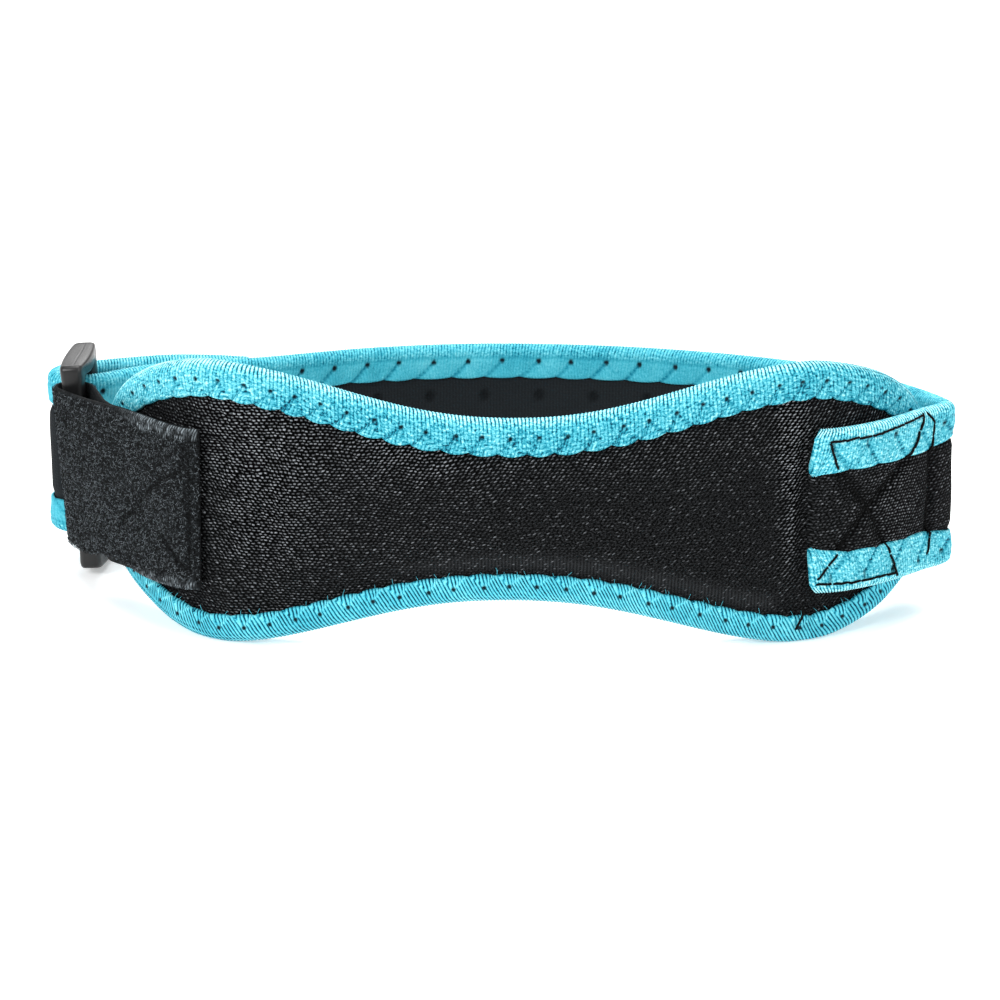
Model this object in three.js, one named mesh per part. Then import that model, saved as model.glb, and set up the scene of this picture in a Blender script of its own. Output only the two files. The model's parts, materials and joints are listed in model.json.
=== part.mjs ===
// Patellar tendon strap: a padded front, a ring buckle and an edge-bound strap in one closed loop.
// Loop frame in millimetres: X along the pad, Y from the pad to the back of the loop, Z along the leg.
// The loop stands on the pad's two lower lobes and on the lower edge of the strap's back.
import * as THREE from 'three';
import { mergeVertices } from 'three/addons/utils/BufferGeometryUtils.js';

const DEG = Math.PI / 180;
const GAP = 0.3;
const MERGE_WITHIN = 0.001;

// Front pad, measured along its bent middle surface from the middle of the pad
const PAD = {
  halfLength: 99.8,
  centreZ: 32,
  waistHalf: 21,
  lobeHalf: 32.5,
  lobeAt: 67.3,
  tipHalf: 11.5,
  waistEase: 1.13,
  tipSquareness: 1.37,
  tipRoundness: 0.46,
  frontCrown: 5.2,
  backCrown: 4.6,
  crownRise: 9,
  crownEnd: 64,
  rimDepths: [1.6, 2.3, 3.2],
  crownDepths: [9, 11.5, 15],
  spineInset: 22,
  edgePoints: 76,
};

// Bends of the pad in plan, from its middle to each tip: the run along the pad and its turn in degrees
const PAD_BENDS = {
  left: [{ run: 53.7, turn: 5.6 }, { run: 25.6, turn: 43.1 }, { run: Infinity, turn: 0 }],
  right: [{ run: 57.3, turn: 9.6 }, { run: 30.3, turn: 36.9 }, { run: Infinity, turn: 0 }],
};

// Folded tapes: the width of one leg, the tape's thickness and half the thickness of the folded edge
const PAD_TAPE = { width: 7.5, thickness: 1, halfDepth: 3, arcSteps: 5 };
const STRAP_TAPE = { width: 8.2, thickness: 0.8, halfDepth: 2.1, arcSteps: 5 };

// Strap band and loop-pile tab
const STRAP = {
  halfHeight: 19,
  bandHalfDepth: 1.7,
  bandEase: 1,
  padStart: 65.5,
  padEnd: 96,
  centreZ: 30.9,
  stations: 62,
};
const TAB = {
  halfHeight: 18.5,
  thickness: 1.7,
  bevel: 0.4,
  padStart: 67.5,
  padEnd: 96.8,
  centreZ: 30.6,
  eyeSlack: 0.9,
  eyeFrom: 212,
  eyeTo: 11,
  stations: 42,
};

// Ring buckle: its bars stand upright, front and back are their plan places at mid height
const RING = {
  front: { x: -97.7, y: 38.9 },
  back: { x: -95.7, y: 51.6 },
  centreZ: 30.4,
  height: 49.2,
  bar: 4.4,
  lean: 4.9,
  cornerRadius: 1.8,
  slotRadius: 1.2,
  bevel: 0.8,
};
const EYE_RADIUS = RING.bar / 2 + TAB.eyeSlack + TAB.thickness / 2;

// The strap's course after the pad: plan place, centre height and share of the ring's lean
const STRAP_COURSE = [
  { x: 96.4, y: 24.3, z: 30.9, lean: 0 },
  { x: 97.9, y: 26.6, z: 30.9, lean: 0 },
  { x: 96.9, y: 29.2, z: 30.9, lean: 0 },
  { x: 92.4, y: 36.9, z: 30.7, lean: 0 },
  { x: 80.0, y: 52.2, z: 30.2, lean: 0 },
  { x: 61.8, y: 66.0, z: 29.4, lean: 0 },
  { x: 30.2, y: 79.3, z: 28.4, lean: 0 },
  { x: -2.6, y: 83.6, z: 28.0, lean: 0 },
  { x: -30.0, y: 78.9, z: 28.3, lean: 0 },
  { x: -60.0, y: 65.3, z: 29.3, lean: 0 },
  { x: -77.0, y: 59.2, z: 30.0, lean: 0.2 },
  { x: -86.5, y: 52.4, z: 30.3, lean: 0.7 },
  { x: -92.2, y: 47.7, z: 30.4, lean: 1 },
  { x: -95.7, y: 46.4, z: 30.4, lean: 1 },
  { x: -99.9, y: 47.0, z: 30.4, lean: 0.8 },
  { x: -103.0, y: 49.0, z: 30.4, lean: 0.3 },
  { x: -104.0, y: 52.0, z: 30.4, lean: 0 },
  { x: -102.5, y: 55.0, z: 30.4, lean: 0 },
  { x: -98.6, y: 57.1, z: 30.4, lean: 0 },
  { x: -89.0, y: 61.0, z: 30.4, lean: 0 },
  { x: -78.6, y: 65.0, z: 30.1, lean: 0 },
  { x: -69.0, y: 67.8, z: 29.3, lean: 0 },
  { x: -61.0, y: 70.8, z: 28.1, lean: 0 },
];

// How the loop stands: its lean back and the height of the floor plane under the lobes
const REST = { tilt: 6.95, lobeY: 7, floorZ: 0.16 };

const BLACK_KNIT = { color: 0x17191b, roughness: 0.9, metalness: 0 };
const BLACK_PILE = { color: 0x26282b, roughness: 1, metalness: 0 };
const BLUE_TAPE = { color: 0x33b5d1, roughness: 0.75, metalness: 0 };
const GREY_PLASTIC = { color: 0x3c3e42, roughness: 0.45, metalness: 0 };

const clamp01 = (value) => Math.min(Math.max(value, 0), 1);
const smooth = (value) => clamp01(value) ** 2 * (3 - 2 * clamp01(value));

// Place and heading of the pad's middle surface in plan, carried from its middle over each bend's chord.
function padPlan(s) {
  const side = s < 0 ? -1 : 1;
  const place = { x: 0, y: 0, heading: 0 };
  let rest = Math.abs(s);
  for (const { run, turn } of side < 0 ? PAD_BENDS.left : PAD_BENDS.right) {
    const step = Math.min(rest, run);
    const bend = turn === 0 ? 0 : (turn * DEG * step) / run;
    const chord = bend === 0 ? step : ((2 * step) / bend) * Math.sin(bend / 2);
    place.x += chord * Math.cos(place.heading + bend / 2);
    place.y += chord * Math.sin(place.heading + bend / 2);
    place.heading += bend;
    rest -= step;
  }
  return { x: side * place.x, y: place.y, heading: side * place.heading };
}

// Point on the pad: s along it, rise above its centre line and out from its middle surface to the front.
function padPoint(s, rise, out) {
  const { x, y, heading } = padPlan(s);
  const front = { x: Math.sin(heading), y: -Math.cos(heading) };
  return new THREE.Vector3(x + out * front.x, y + out * front.y, PAD.centreZ + rise);
}

// Half height of the pad's outline: a cosine swell from waist to lobe, then a superellipse to the tip.
function padHalfHeight(s) {
  const run = Math.abs(s);
  if (run < PAD.lobeAt) {
    const swell = (1 - Math.cos(Math.PI * (run / PAD.lobeAt) ** PAD.waistEase)) / 2;
    return PAD.waistHalf + (PAD.lobeHalf - PAD.waistHalf) * swell;
  }
  const share = clamp01((run - PAD.lobeAt) / (PAD.halfLength - PAD.lobeAt));
  const round = (1 - share ** PAD.tipSquareness) ** PAD.tipRoundness;
  return PAD.tipHalf + (PAD.lobeHalf - PAD.tipHalf) * round;
}

// The pad's outline as evenly spaced edge points with their directions to the inside of the pad.
// It starts in the middle of the left tip, so the points of its upper and lower edges stand in pairs.
function padOutline(count) {
  const steps = 240;
  const upper = [];
  for (let i = 0; i <= steps; i += 1) {
    const s = PAD.halfLength * Math.sin((i / steps - 0.5) * Math.PI);
    upper.push(new THREE.Vector2(s, padHalfHeight(s)));
  }
  const lower = upper.map((point) => new THREE.Vector2(point.x, -point.y)).reverse();
  const tip = new THREE.Vector2(-PAD.halfLength, 0);
  const points = new THREE.Path([tip, ...upper, ...lower, tip]).getSpacedPoints(count).slice(0, count);
  return points.map((edge, i) => {
    const along = points[(i + 1) % count].clone().sub(points[(i + count - 1) % count]).normalize();
    return { edge, inward: new THREE.Vector2(along.y, -along.x) };
  });
}

// Half thickness of the pad on one face: a rounded rim inside the tape, then a crown that fades out.
function padFace(s, depth, crown) {
  const rim = PAD_TAPE.halfDepth - PAD_TAPE.thickness - GAP;
  const short = Math.max(PAD_TAPE.halfDepth - depth, 0);
  const flat = Math.sqrt(rim ** 2 - short ** 2);
  const swell = 1 - smooth(Math.abs(s) / PAD.crownEnd);
  const top = PAD_TAPE.halfDepth + (crown - PAD_TAPE.halfDepth) * swell;
  const rise = 1 - (1 - clamp01((depth - PAD_TAPE.width - GAP) / PAD.crownRise)) ** 2;
  return flat + (top - flat) * rise;
}

// Closed skin over loops of equal size. Its ends are joined, capped with the section, or already shut.
function skin(loops, ends, section = []) {
  const size = loops[0].length;
  const faces = [];
  const bands = ends === 'joined' ? loops.length : loops.length - 1;
  for (let i = 0; i < bands; i += 1) {
    const here = i * size;
    const next = ((i + 1) % loops.length) * size;
    for (let j = 0; j < size; j += 1) {
      const k = (j + 1) % size;
      faces.push([here + j, next + j, next + k], [here + j, next + k, here + k]);
    }
  }
  if (ends === 'capped') {
    const last = (loops.length - 1) * size;
    for (const [a, b, c] of THREE.ShapeUtils.triangulateShape(section, [])) {
      faces.push([a, b, c], [last + c, last + b, last + a]);
    }
  }
  const geometry = new THREE.BufferGeometry();
  const places = loops.flat().flatMap((point) => onFloor(point).toArray());
  geometry.setAttribute('position', new THREE.Float32BufferAttribute(places, 3));
  geometry.setIndex(faces.flat());
  return withoutSlivers(mergeVertices(geometry, MERGE_WITHIN));
}

// Geometry without the triangles that collapsed when their corners were merged.
function withoutSlivers(geometry) {
  const index = geometry.getIndex().array;
  const kept = [];
  for (let i = 0; i < index.length; i += 3) {
    const [a, b, c] = index.slice(i, i + 3);
    if (a !== b && b !== c && c !== a) kept.push(a, b, c);
  }
  geometry.setIndex(kept);
  geometry.computeVertexNormals();
  return geometry;
}

// Soft edges are pressed flat where they would pass below the floor.
function onFloor(point) {
  const floor = REST.floorZ + (point.y - REST.lobeY) * Math.tan(REST.tilt * DEG);
  return point.setZ(Math.max(point.z, floor));
}

// Section of a folded tape, with x across the fold and y from the folded edge to the inside.
function tapeSection(tape) {
  const fold = (radius, from, to) => {
    const arc = new THREE.EllipseCurve(0, tape.halfDepth, radius, radius, from, to, to < from);
    return arc.getPoints(tape.arcSteps);
  };
  const inner = tape.halfDepth - tape.thickness;
  return [
    new THREE.Vector2(tape.halfDepth, tape.width),
    ...fold(tape.halfDepth, 0, -Math.PI),
    new THREE.Vector2(-tape.halfDepth, tape.width),
    new THREE.Vector2(-inner, tape.width),
    ...fold(inner, -Math.PI, 0),
    new THREE.Vector2(inner, tape.width),
  ];
}

// Stations along a course, closer together where it bends, each with its ways out of the loop and up.
function stationsAlong(rows, count) {
  const curve = new THREE.CatmullRomCurve3(rows.map(({ x, y, z }) => new THREE.Vector3(x, y, z)));
  const steps = 3000;
  const stepLength = 7;
  const stepTurn = 11 * DEG;
  const travel = [0];
  let before = { point: curve.getPoint(0), along: curve.getTangent(0) };
  for (let i = 1; i <= steps; i += 1) {
    const now = { point: curve.getPoint(i / steps), along: curve.getTangent(i / steps) };
    const run = now.point.distanceTo(before.point) / stepLength;
    const turn = now.along.angleTo(before.along) / stepTurn;
    travel.push(travel[i - 1] + run + turn);
    before = now;
  }
  const stations = [];
  for (let k = 0; k < count; k += 1) {
    const target = (travel[steps] * k) / (count - 1);
    const at = Math.max(travel.findIndex((reached) => reached >= target - 1e-9), 0) / steps;
    const along = curve.getTangent(at);
    const place = at * (rows.length - 1);
    const row = Math.min(Math.floor(place), rows.length - 2);
    const lean = THREE.MathUtils.lerp(rows[row].lean, rows[row + 1].lean, place - row);
    stations.push({
      origin: curve.getPoint(at),
      out: new THREE.Vector3(along.y, -along.x, 0).normalize(),
      up: new THREE.Vector3(-lean * Math.tan(RING.lean * DEG), 0, 1),
    });
  }
  return stations;
}

// Solid with one section all along its stations: x of the section goes out of the loop, y goes up.
function sweep(profile, stations) {
  const section = THREE.ShapeUtils.isClockWise(profile) ? profile.toReversed() : profile;
  const loops = stations.map(({ origin, out, up }) =>
    section.map(({ x, y }) => origin.clone().addScaledVector(out, x).addScaledVector(up, y)));
  return skin(loops, 'capped', section);
}

// Rows of a course that lies on the pad's front at one distance from its middle surface.
function rowsOnPad(from, to, offset, z) {
  const count = 6;
  const rows = [];
  for (let i = 0; i < count; i += 1) {
    const { x, y } = padPoint(THREE.MathUtils.lerp(from, to, i / (count - 1)), 0, offset);
    rows.push({ x, y, z, lean: 0 });
  }
  return rows;
}

function padGeometry(outline) {
  const depths = [...PAD.rimDepths, PAD_TAPE.width + GAP, ...PAD.crownDepths];
  const spineEnd = PAD.halfLength - PAD.spineInset;
  const loopAt = (depth, crown, face) => outline.map(({ edge, inward }) => {
    const at = edge.clone().addScaledVector(inward, depth);
    return padPoint(at.x, at.y, face * padFace(at.x, depth, crown));
  });
  const spine = (crown, face) => outline.map(({ edge }) => {
    const s = THREE.MathUtils.clamp(edge.x, -spineEnd, spineEnd);
    return padPoint(s, 0, face * padFace(s, PAD.waistHalf, crown));
  });
  const back = depths.map((depth) => loopAt(depth, PAD.backCrown, -1)).reverse();
  const front = depths.map((depth) => loopAt(depth, PAD.frontCrown, 1));
  return skin([spine(PAD.backCrown, -1), ...back, ...front, spine(PAD.frontCrown, 1)], 'shut');
}

function padTapeGeometry(outline) {
  const loops = tapeSection(PAD_TAPE).map(({ x, y }) => outline.map(({ edge, inward }) => {
    const at = edge.clone().addScaledVector(inward, y);
    return padPoint(at.x, at.y, -x);
  }));
  return skin(loops, 'joined');
}

function strapStations() {
  const depth = PAD_TAPE.halfDepth + GAP + STRAP_TAPE.halfDepth;
  const onPad = rowsOnPad(STRAP.padStart, STRAP.padEnd, depth, STRAP.centreZ);
  return stationsAlong([...onPad, ...STRAP_COURSE], STRAP.stations);
}

// The band is thin inside its folded tapes and swells to its full depth between them.
function strapGeometry(stations) {
  const rim = STRAP_TAPE.halfDepth - STRAP_TAPE.thickness - GAP;
  const open = STRAP.halfHeight - STRAP_TAPE.width - GAP;
  const corners = [
    { out: rim, up: STRAP.halfHeight - STRAP_TAPE.halfDepth },
    { out: rim, up: open },
    { out: STRAP.bandHalfDepth, up: open - STRAP.bandEase },
  ];
  const quarter = (outSide, upSide) =>
    corners.map(({ out, up }) => new THREE.Vector2(outSide * out, upSide * up));
  const section = [
    ...quarter(1, 1),
    ...quarter(1, -1).reverse(),
    ...quarter(-1, -1),
    ...quarter(-1, 1).reverse(),
  ];
  return sweep(section, stations);
}

function strapTapeGeometry(stations, side) {
  const lower = tapeSection(STRAP_TAPE).map(({ x, y }) => new THREE.Vector2(x, y - STRAP.halfHeight));
  const section = side < 0 ? lower : lower.map(({ x, y }) => new THREE.Vector2(-x, -y));
  return sweep(section, stations);
}

// Two layers of one tape on the pad, joined by an eye round the ring's front bar.
function tabGeometry() {
  const innerLayer = PAD_TAPE.halfDepth + GAP + TAB.thickness / 2;
  const outerLayer = innerLayer + TAB.thickness + GAP;
  const eyeSteps = 6;
  const eye = [];
  for (let i = 0; i <= eyeSteps; i += 1) {
    const angle = THREE.MathUtils.lerp(TAB.eyeFrom, TAB.eyeTo, i / eyeSteps) * DEG;
    const x = RING.front.x + EYE_RADIUS * Math.cos(angle);
    const y = RING.front.y + EYE_RADIUS * Math.sin(angle);
    eye.push({ x, y, z: RING.centreZ, lean: 1 });
  }
  const rows = [
    ...rowsOnPad(-TAB.padStart, -TAB.padEnd, outerLayer, TAB.centreZ),
    ...eye,
    ...rowsOnPad(-TAB.padEnd, -TAB.padStart, innerLayer, TAB.centreZ),
  ];
  const half = TAB.thickness / 2;
  const corners = [[1, 1], [1, -1], [-1, -1], [-1, 1]];
  const section = corners.flatMap(([out, up]) => {
    const side = new THREE.Vector2(out * half, up * (TAB.halfHeight - TAB.bevel));
    const end = new THREE.Vector2(out * (half - TAB.bevel), up * TAB.halfHeight);
    return out === up ? [end, side] : [side, end];
  });
  return sweep(section, stationsAlong(rows, TAB.stations));
}

// Rounded rectangle as a closed path about its own middle.
function roundedRectangle(path, width, height, radius) {
  const x = width / 2 - radius;
  const y = height / 2 - radius;
  path.absarc(x, y, radius, 0, Math.PI / 2);
  path.absarc(-x, y, radius, Math.PI / 2, Math.PI);
  path.absarc(-x, -y, radius, Math.PI, Math.PI * 1.5);
  path.absarc(x, -y, radius, Math.PI * 1.5, Math.PI * 2);
  return path.closePath();
}

// The ring stands with its flat width from the front bar to the back bar.
function buckleMesh() {
  const reach = new THREE.Vector2(RING.back.x - RING.front.x, RING.back.y - RING.front.y);
  const width = reach.length() + RING.bar - 2 * RING.bevel;
  const height = RING.height - 2 * RING.bevel;
  const outline = roundedRectangle(new THREE.Shape(), width, height, RING.cornerRadius);
  const slotWidth = reach.length() - RING.bar + 2 * RING.bevel;
  const slotHeight = RING.height - 2 * RING.bar + 2 * RING.bevel;
  outline.holes.push(roundedRectangle(new THREE.Path(), slotWidth, slotHeight, RING.slotRadius));
  const depth = RING.bar - 2 * RING.bevel;
  const geometry = new THREE.ExtrudeGeometry(outline, {
    depth,
    bevelThickness: RING.bevel,
    bevelSize: RING.bevel,
    bevelSegments: 2,
    curveSegments: 3,
  });
  geometry.translate(0, 0, -depth / 2);
  const mesh = new THREE.Mesh(geometry, new THREE.MeshStandardMaterial(GREY_PLASTIC));
  mesh.name = 'buckle';
  mesh.rotation.set(Math.PI / 2, reach.angle(), 0, 'XYZ');
  const leaning = new THREE.Group();
  const middle = new THREE.Vector2(RING.front.x, RING.front.y).addScaledVector(reach, 0.5);
  leaning.position.set(middle.x, middle.y, RING.centreZ);
  leaning.rotation.y = -RING.lean * DEG;
  return leaning.add(mesh);
}

function softMesh(name, geometry, finish) {
  const mesh = new THREE.Mesh(geometry, new THREE.MeshStandardMaterial(finish));
  mesh.name = name;
  return mesh;
}

// The loop leaned back on its three resting places, with its origin under the middle of its box.
function kneeStrap() {
  const outline = padOutline(PAD.edgePoints);
  const stations = strapStations();
  const loop = new THREE.Group();
  loop.add(softMesh('pad', padGeometry(outline), BLACK_KNIT));
  loop.add(softMesh('pad_binding', padTapeGeometry(outline), BLUE_TAPE));
  loop.add(softMesh('strap', strapGeometry(stations), BLACK_KNIT));
  loop.add(softMesh('strap_binding_upper', strapTapeGeometry(stations, 1), BLUE_TAPE));
  loop.add(softMesh('strap_binding_lower', strapTapeGeometry(stations, -1), BLUE_TAPE));
  loop.add(softMesh('tab', tabGeometry(), BLACK_PILE));
  loop.add(buckleMesh());
  loop.rotation.x = -REST.tilt * DEG;
  const stand = new THREE.Group().add(loop);
  stand.updateMatrixWorld(true);
  const box = new THREE.Box3().setFromObject(stand, true);
  const middle = box.getCenter(new THREE.Vector3());
  loop.position.set(-middle.x, -middle.y, -box.min.z);
  return stand;
}

export default kneeStrap();
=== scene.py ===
"""Looks of a patellar tendon strap: a padded front, a ring buckle and an edge-bound strap in one closed loop.

Shapes are drawn in the loop's own frame in millimetres: X along the pad, Y from the pad to the back of the loop
and Z along the leg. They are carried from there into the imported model's frame, in metres.
"""

import json
import logging
from collections.abc import Callable
from dataclasses import dataclass
from enum import Enum
from functools import cached_property

import bpy
import numpy as np
from mathutils import Matrix, Vector


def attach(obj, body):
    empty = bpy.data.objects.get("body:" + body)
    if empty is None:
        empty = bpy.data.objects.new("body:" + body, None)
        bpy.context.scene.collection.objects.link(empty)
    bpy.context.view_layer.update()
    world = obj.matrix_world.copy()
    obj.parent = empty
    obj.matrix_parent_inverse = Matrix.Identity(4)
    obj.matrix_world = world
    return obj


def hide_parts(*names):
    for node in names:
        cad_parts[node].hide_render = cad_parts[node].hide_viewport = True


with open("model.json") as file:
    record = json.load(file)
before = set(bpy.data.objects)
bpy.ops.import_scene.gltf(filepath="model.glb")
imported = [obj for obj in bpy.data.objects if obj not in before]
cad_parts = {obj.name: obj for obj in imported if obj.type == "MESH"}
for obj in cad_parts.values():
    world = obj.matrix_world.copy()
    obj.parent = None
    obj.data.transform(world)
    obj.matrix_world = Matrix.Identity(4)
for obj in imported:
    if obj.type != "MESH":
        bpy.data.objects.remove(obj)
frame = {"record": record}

LOG = logging.getLogger("knee_strap")
BODY = "root"
METRES = 0.001
CLOTH_UV = "cloth"
SEED = 41

Array = np.ndarray
Colour = tuple[float, float, float, float]
Triple = tuple[float, float, float]
Pair = tuple[float, float]
Line = tuple[Pair, ...]
Values = dict[str, Array]
Material = bpy.types.Material
Piece = bpy.types.Object


class Slot(Enum):
    """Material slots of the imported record."""

    KNIT = "black_knit"
    TAPE = "blue_tape"
    PILE = "black_pile"
    PLASTIC = "grey_plastic"


def smooth(share: Array) -> Array:
    """Smooth step 3x² - 2x³ of a share that is held between 0 and 1."""
    held = np.clip(share, 0.0, 1.0)
    return held * held * (3.0 - 2.0 * held)


def step_up(value: Array, run: Pair) -> Array:
    """Smooth step that rises from 0 where a run starts to 1 after its length."""
    return smooth((value - run[0]) / run[1])


def step_down(value: Array, run: Pair) -> Array:
    """Smooth step that falls to 0 where a run ends, from 1 at its length before."""
    return smooth((run[0] - value) / run[1])


def bell(distance: Array, width: float) -> Array:
    """Bell curve exp(-(distance / width)²)."""
    return np.exp(-((distance / width) ** 2))


def bump(value: Array, shape: Triple) -> Array:
    """Bell curve with a place, a reach and a height."""
    place, reach, height = shape
    return height * bell(value - place, reach)


def rounding(run: Array, reach: float) -> Array:
    """Quarter circle that rises from 0 at an edge to 1 at its reach."""
    return np.sqrt(np.maximum(1.0 - (1.0 - np.clip(run / reach, 0.0, 1.0)) ** 2, 0.0))


def unit(vectors: Array) -> Array:
    """Vectors along the last axis, scaled to a length of 1."""
    return vectors / np.maximum(np.linalg.norm(vectors, axis=-1, keepdims=True), 1e-12)


def segment_distance(u: Array, v: Array, start: tuple[Array, Array], end: tuple[Array, Array]) -> Array:
    """Distance in a plane from points to segments: to the place whose share of a segment is held between 0 and 1."""
    run_u, run_v = end[0] - start[0], end[1] - start[1]
    share = ((u - start[0]) * run_u + (v - start[1]) * run_v) / np.maximum(run_u**2 + run_v**2, 1e-9)
    share = np.clip(share, 0.0, 1.0)
    return np.hypot(u - start[0] - share * run_u, v - start[1] - share * run_v)


def nearness(u: Array, v: Array, lines: tuple[Line, ...], reach: float) -> Array:
    """Bell curve of the distance in a plane from points to the nearest of several lines of straight runs."""
    runs = [segment_distance(u, v, start, end) for line in lines for start, end in zip(line, line[1:])]
    return bell(np.minimum.reduce(runs), reach)


def dimple(away: Array, radius: float) -> Array:
    """Share of a round hollow's depth at a distance from its middle: a smooth step over its rim."""
    return smooth((radius * 1.25 - away) / (radius * 0.6))


def there_and_back(front: Array, back: Array) -> Array:
    """Columns of a front face and then those of a back face in reverse, which close a section."""
    return np.concatenate([front, back[:, ::-1]], 1)


def linked(name: str, data: bpy.types.ID) -> bpy.types.Object:
    """A new object in the scene that shows a mesh, a light or a camera."""
    thing = bpy.data.objects.new(name, data)
    bpy.context.scene.collection.objects.link(thing)
    return thing


def ripple(u: Array, v: Array, wavelength: float, seed: int) -> Array:
    """Soft random field of about -1 to 1: the mean of plane waves of about one wavelength in random directions."""
    random = np.random.default_rng(seed)
    count = 7
    angles = random.uniform(0.0, np.pi, count)
    pitches = 2.0 * np.pi / (wavelength * random.uniform(0.7, 1.5, count))
    phases = random.uniform(0.0, 2.0 * np.pi, count)
    waves = [
        np.sin(pitch * (u * np.cos(angle) + v * np.sin(angle)) + phase)
        for angle, pitch, phase in zip(angles, pitches, phases)
    ]
    return sum(waves) / np.sqrt(count)


@dataclass(frozen=True)
class LoopFrame:
    """The loop's own frame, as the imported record's leg axis places it."""

    origin: Array
    leg: Array

    @classmethod
    def from_record(cls, record: dict) -> "LoopFrame":
        """Reads the place and direction of the mount that runs along the leg."""
        mount = next(m for m in record["mounts"] if m["name"] == "leg_axis")
        return cls(np.array(mount["pos_m"], float), unit(np.array(mount["axis"], float)))

    @cached_property
    def axes(self) -> Array:
        """The frame's X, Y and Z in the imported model's frame, one in each row."""
        return np.array([[1.0, 0.0, 0.0], [0.0, self.leg[2], -self.leg[1]], self.leg])

    def to_model(self, points: Array) -> Array:
        """Millimetres of the loop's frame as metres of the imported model."""
        return self.origin + points @ self.axes * METRES

    def on_floor(self, points: Array) -> Array:
        """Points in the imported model's frame, pressed flat where they would pass below the floor."""
        placed = self.to_model(points)
        placed[..., 2] = np.maximum(placed[..., 2], 0.0)
        return placed


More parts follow.
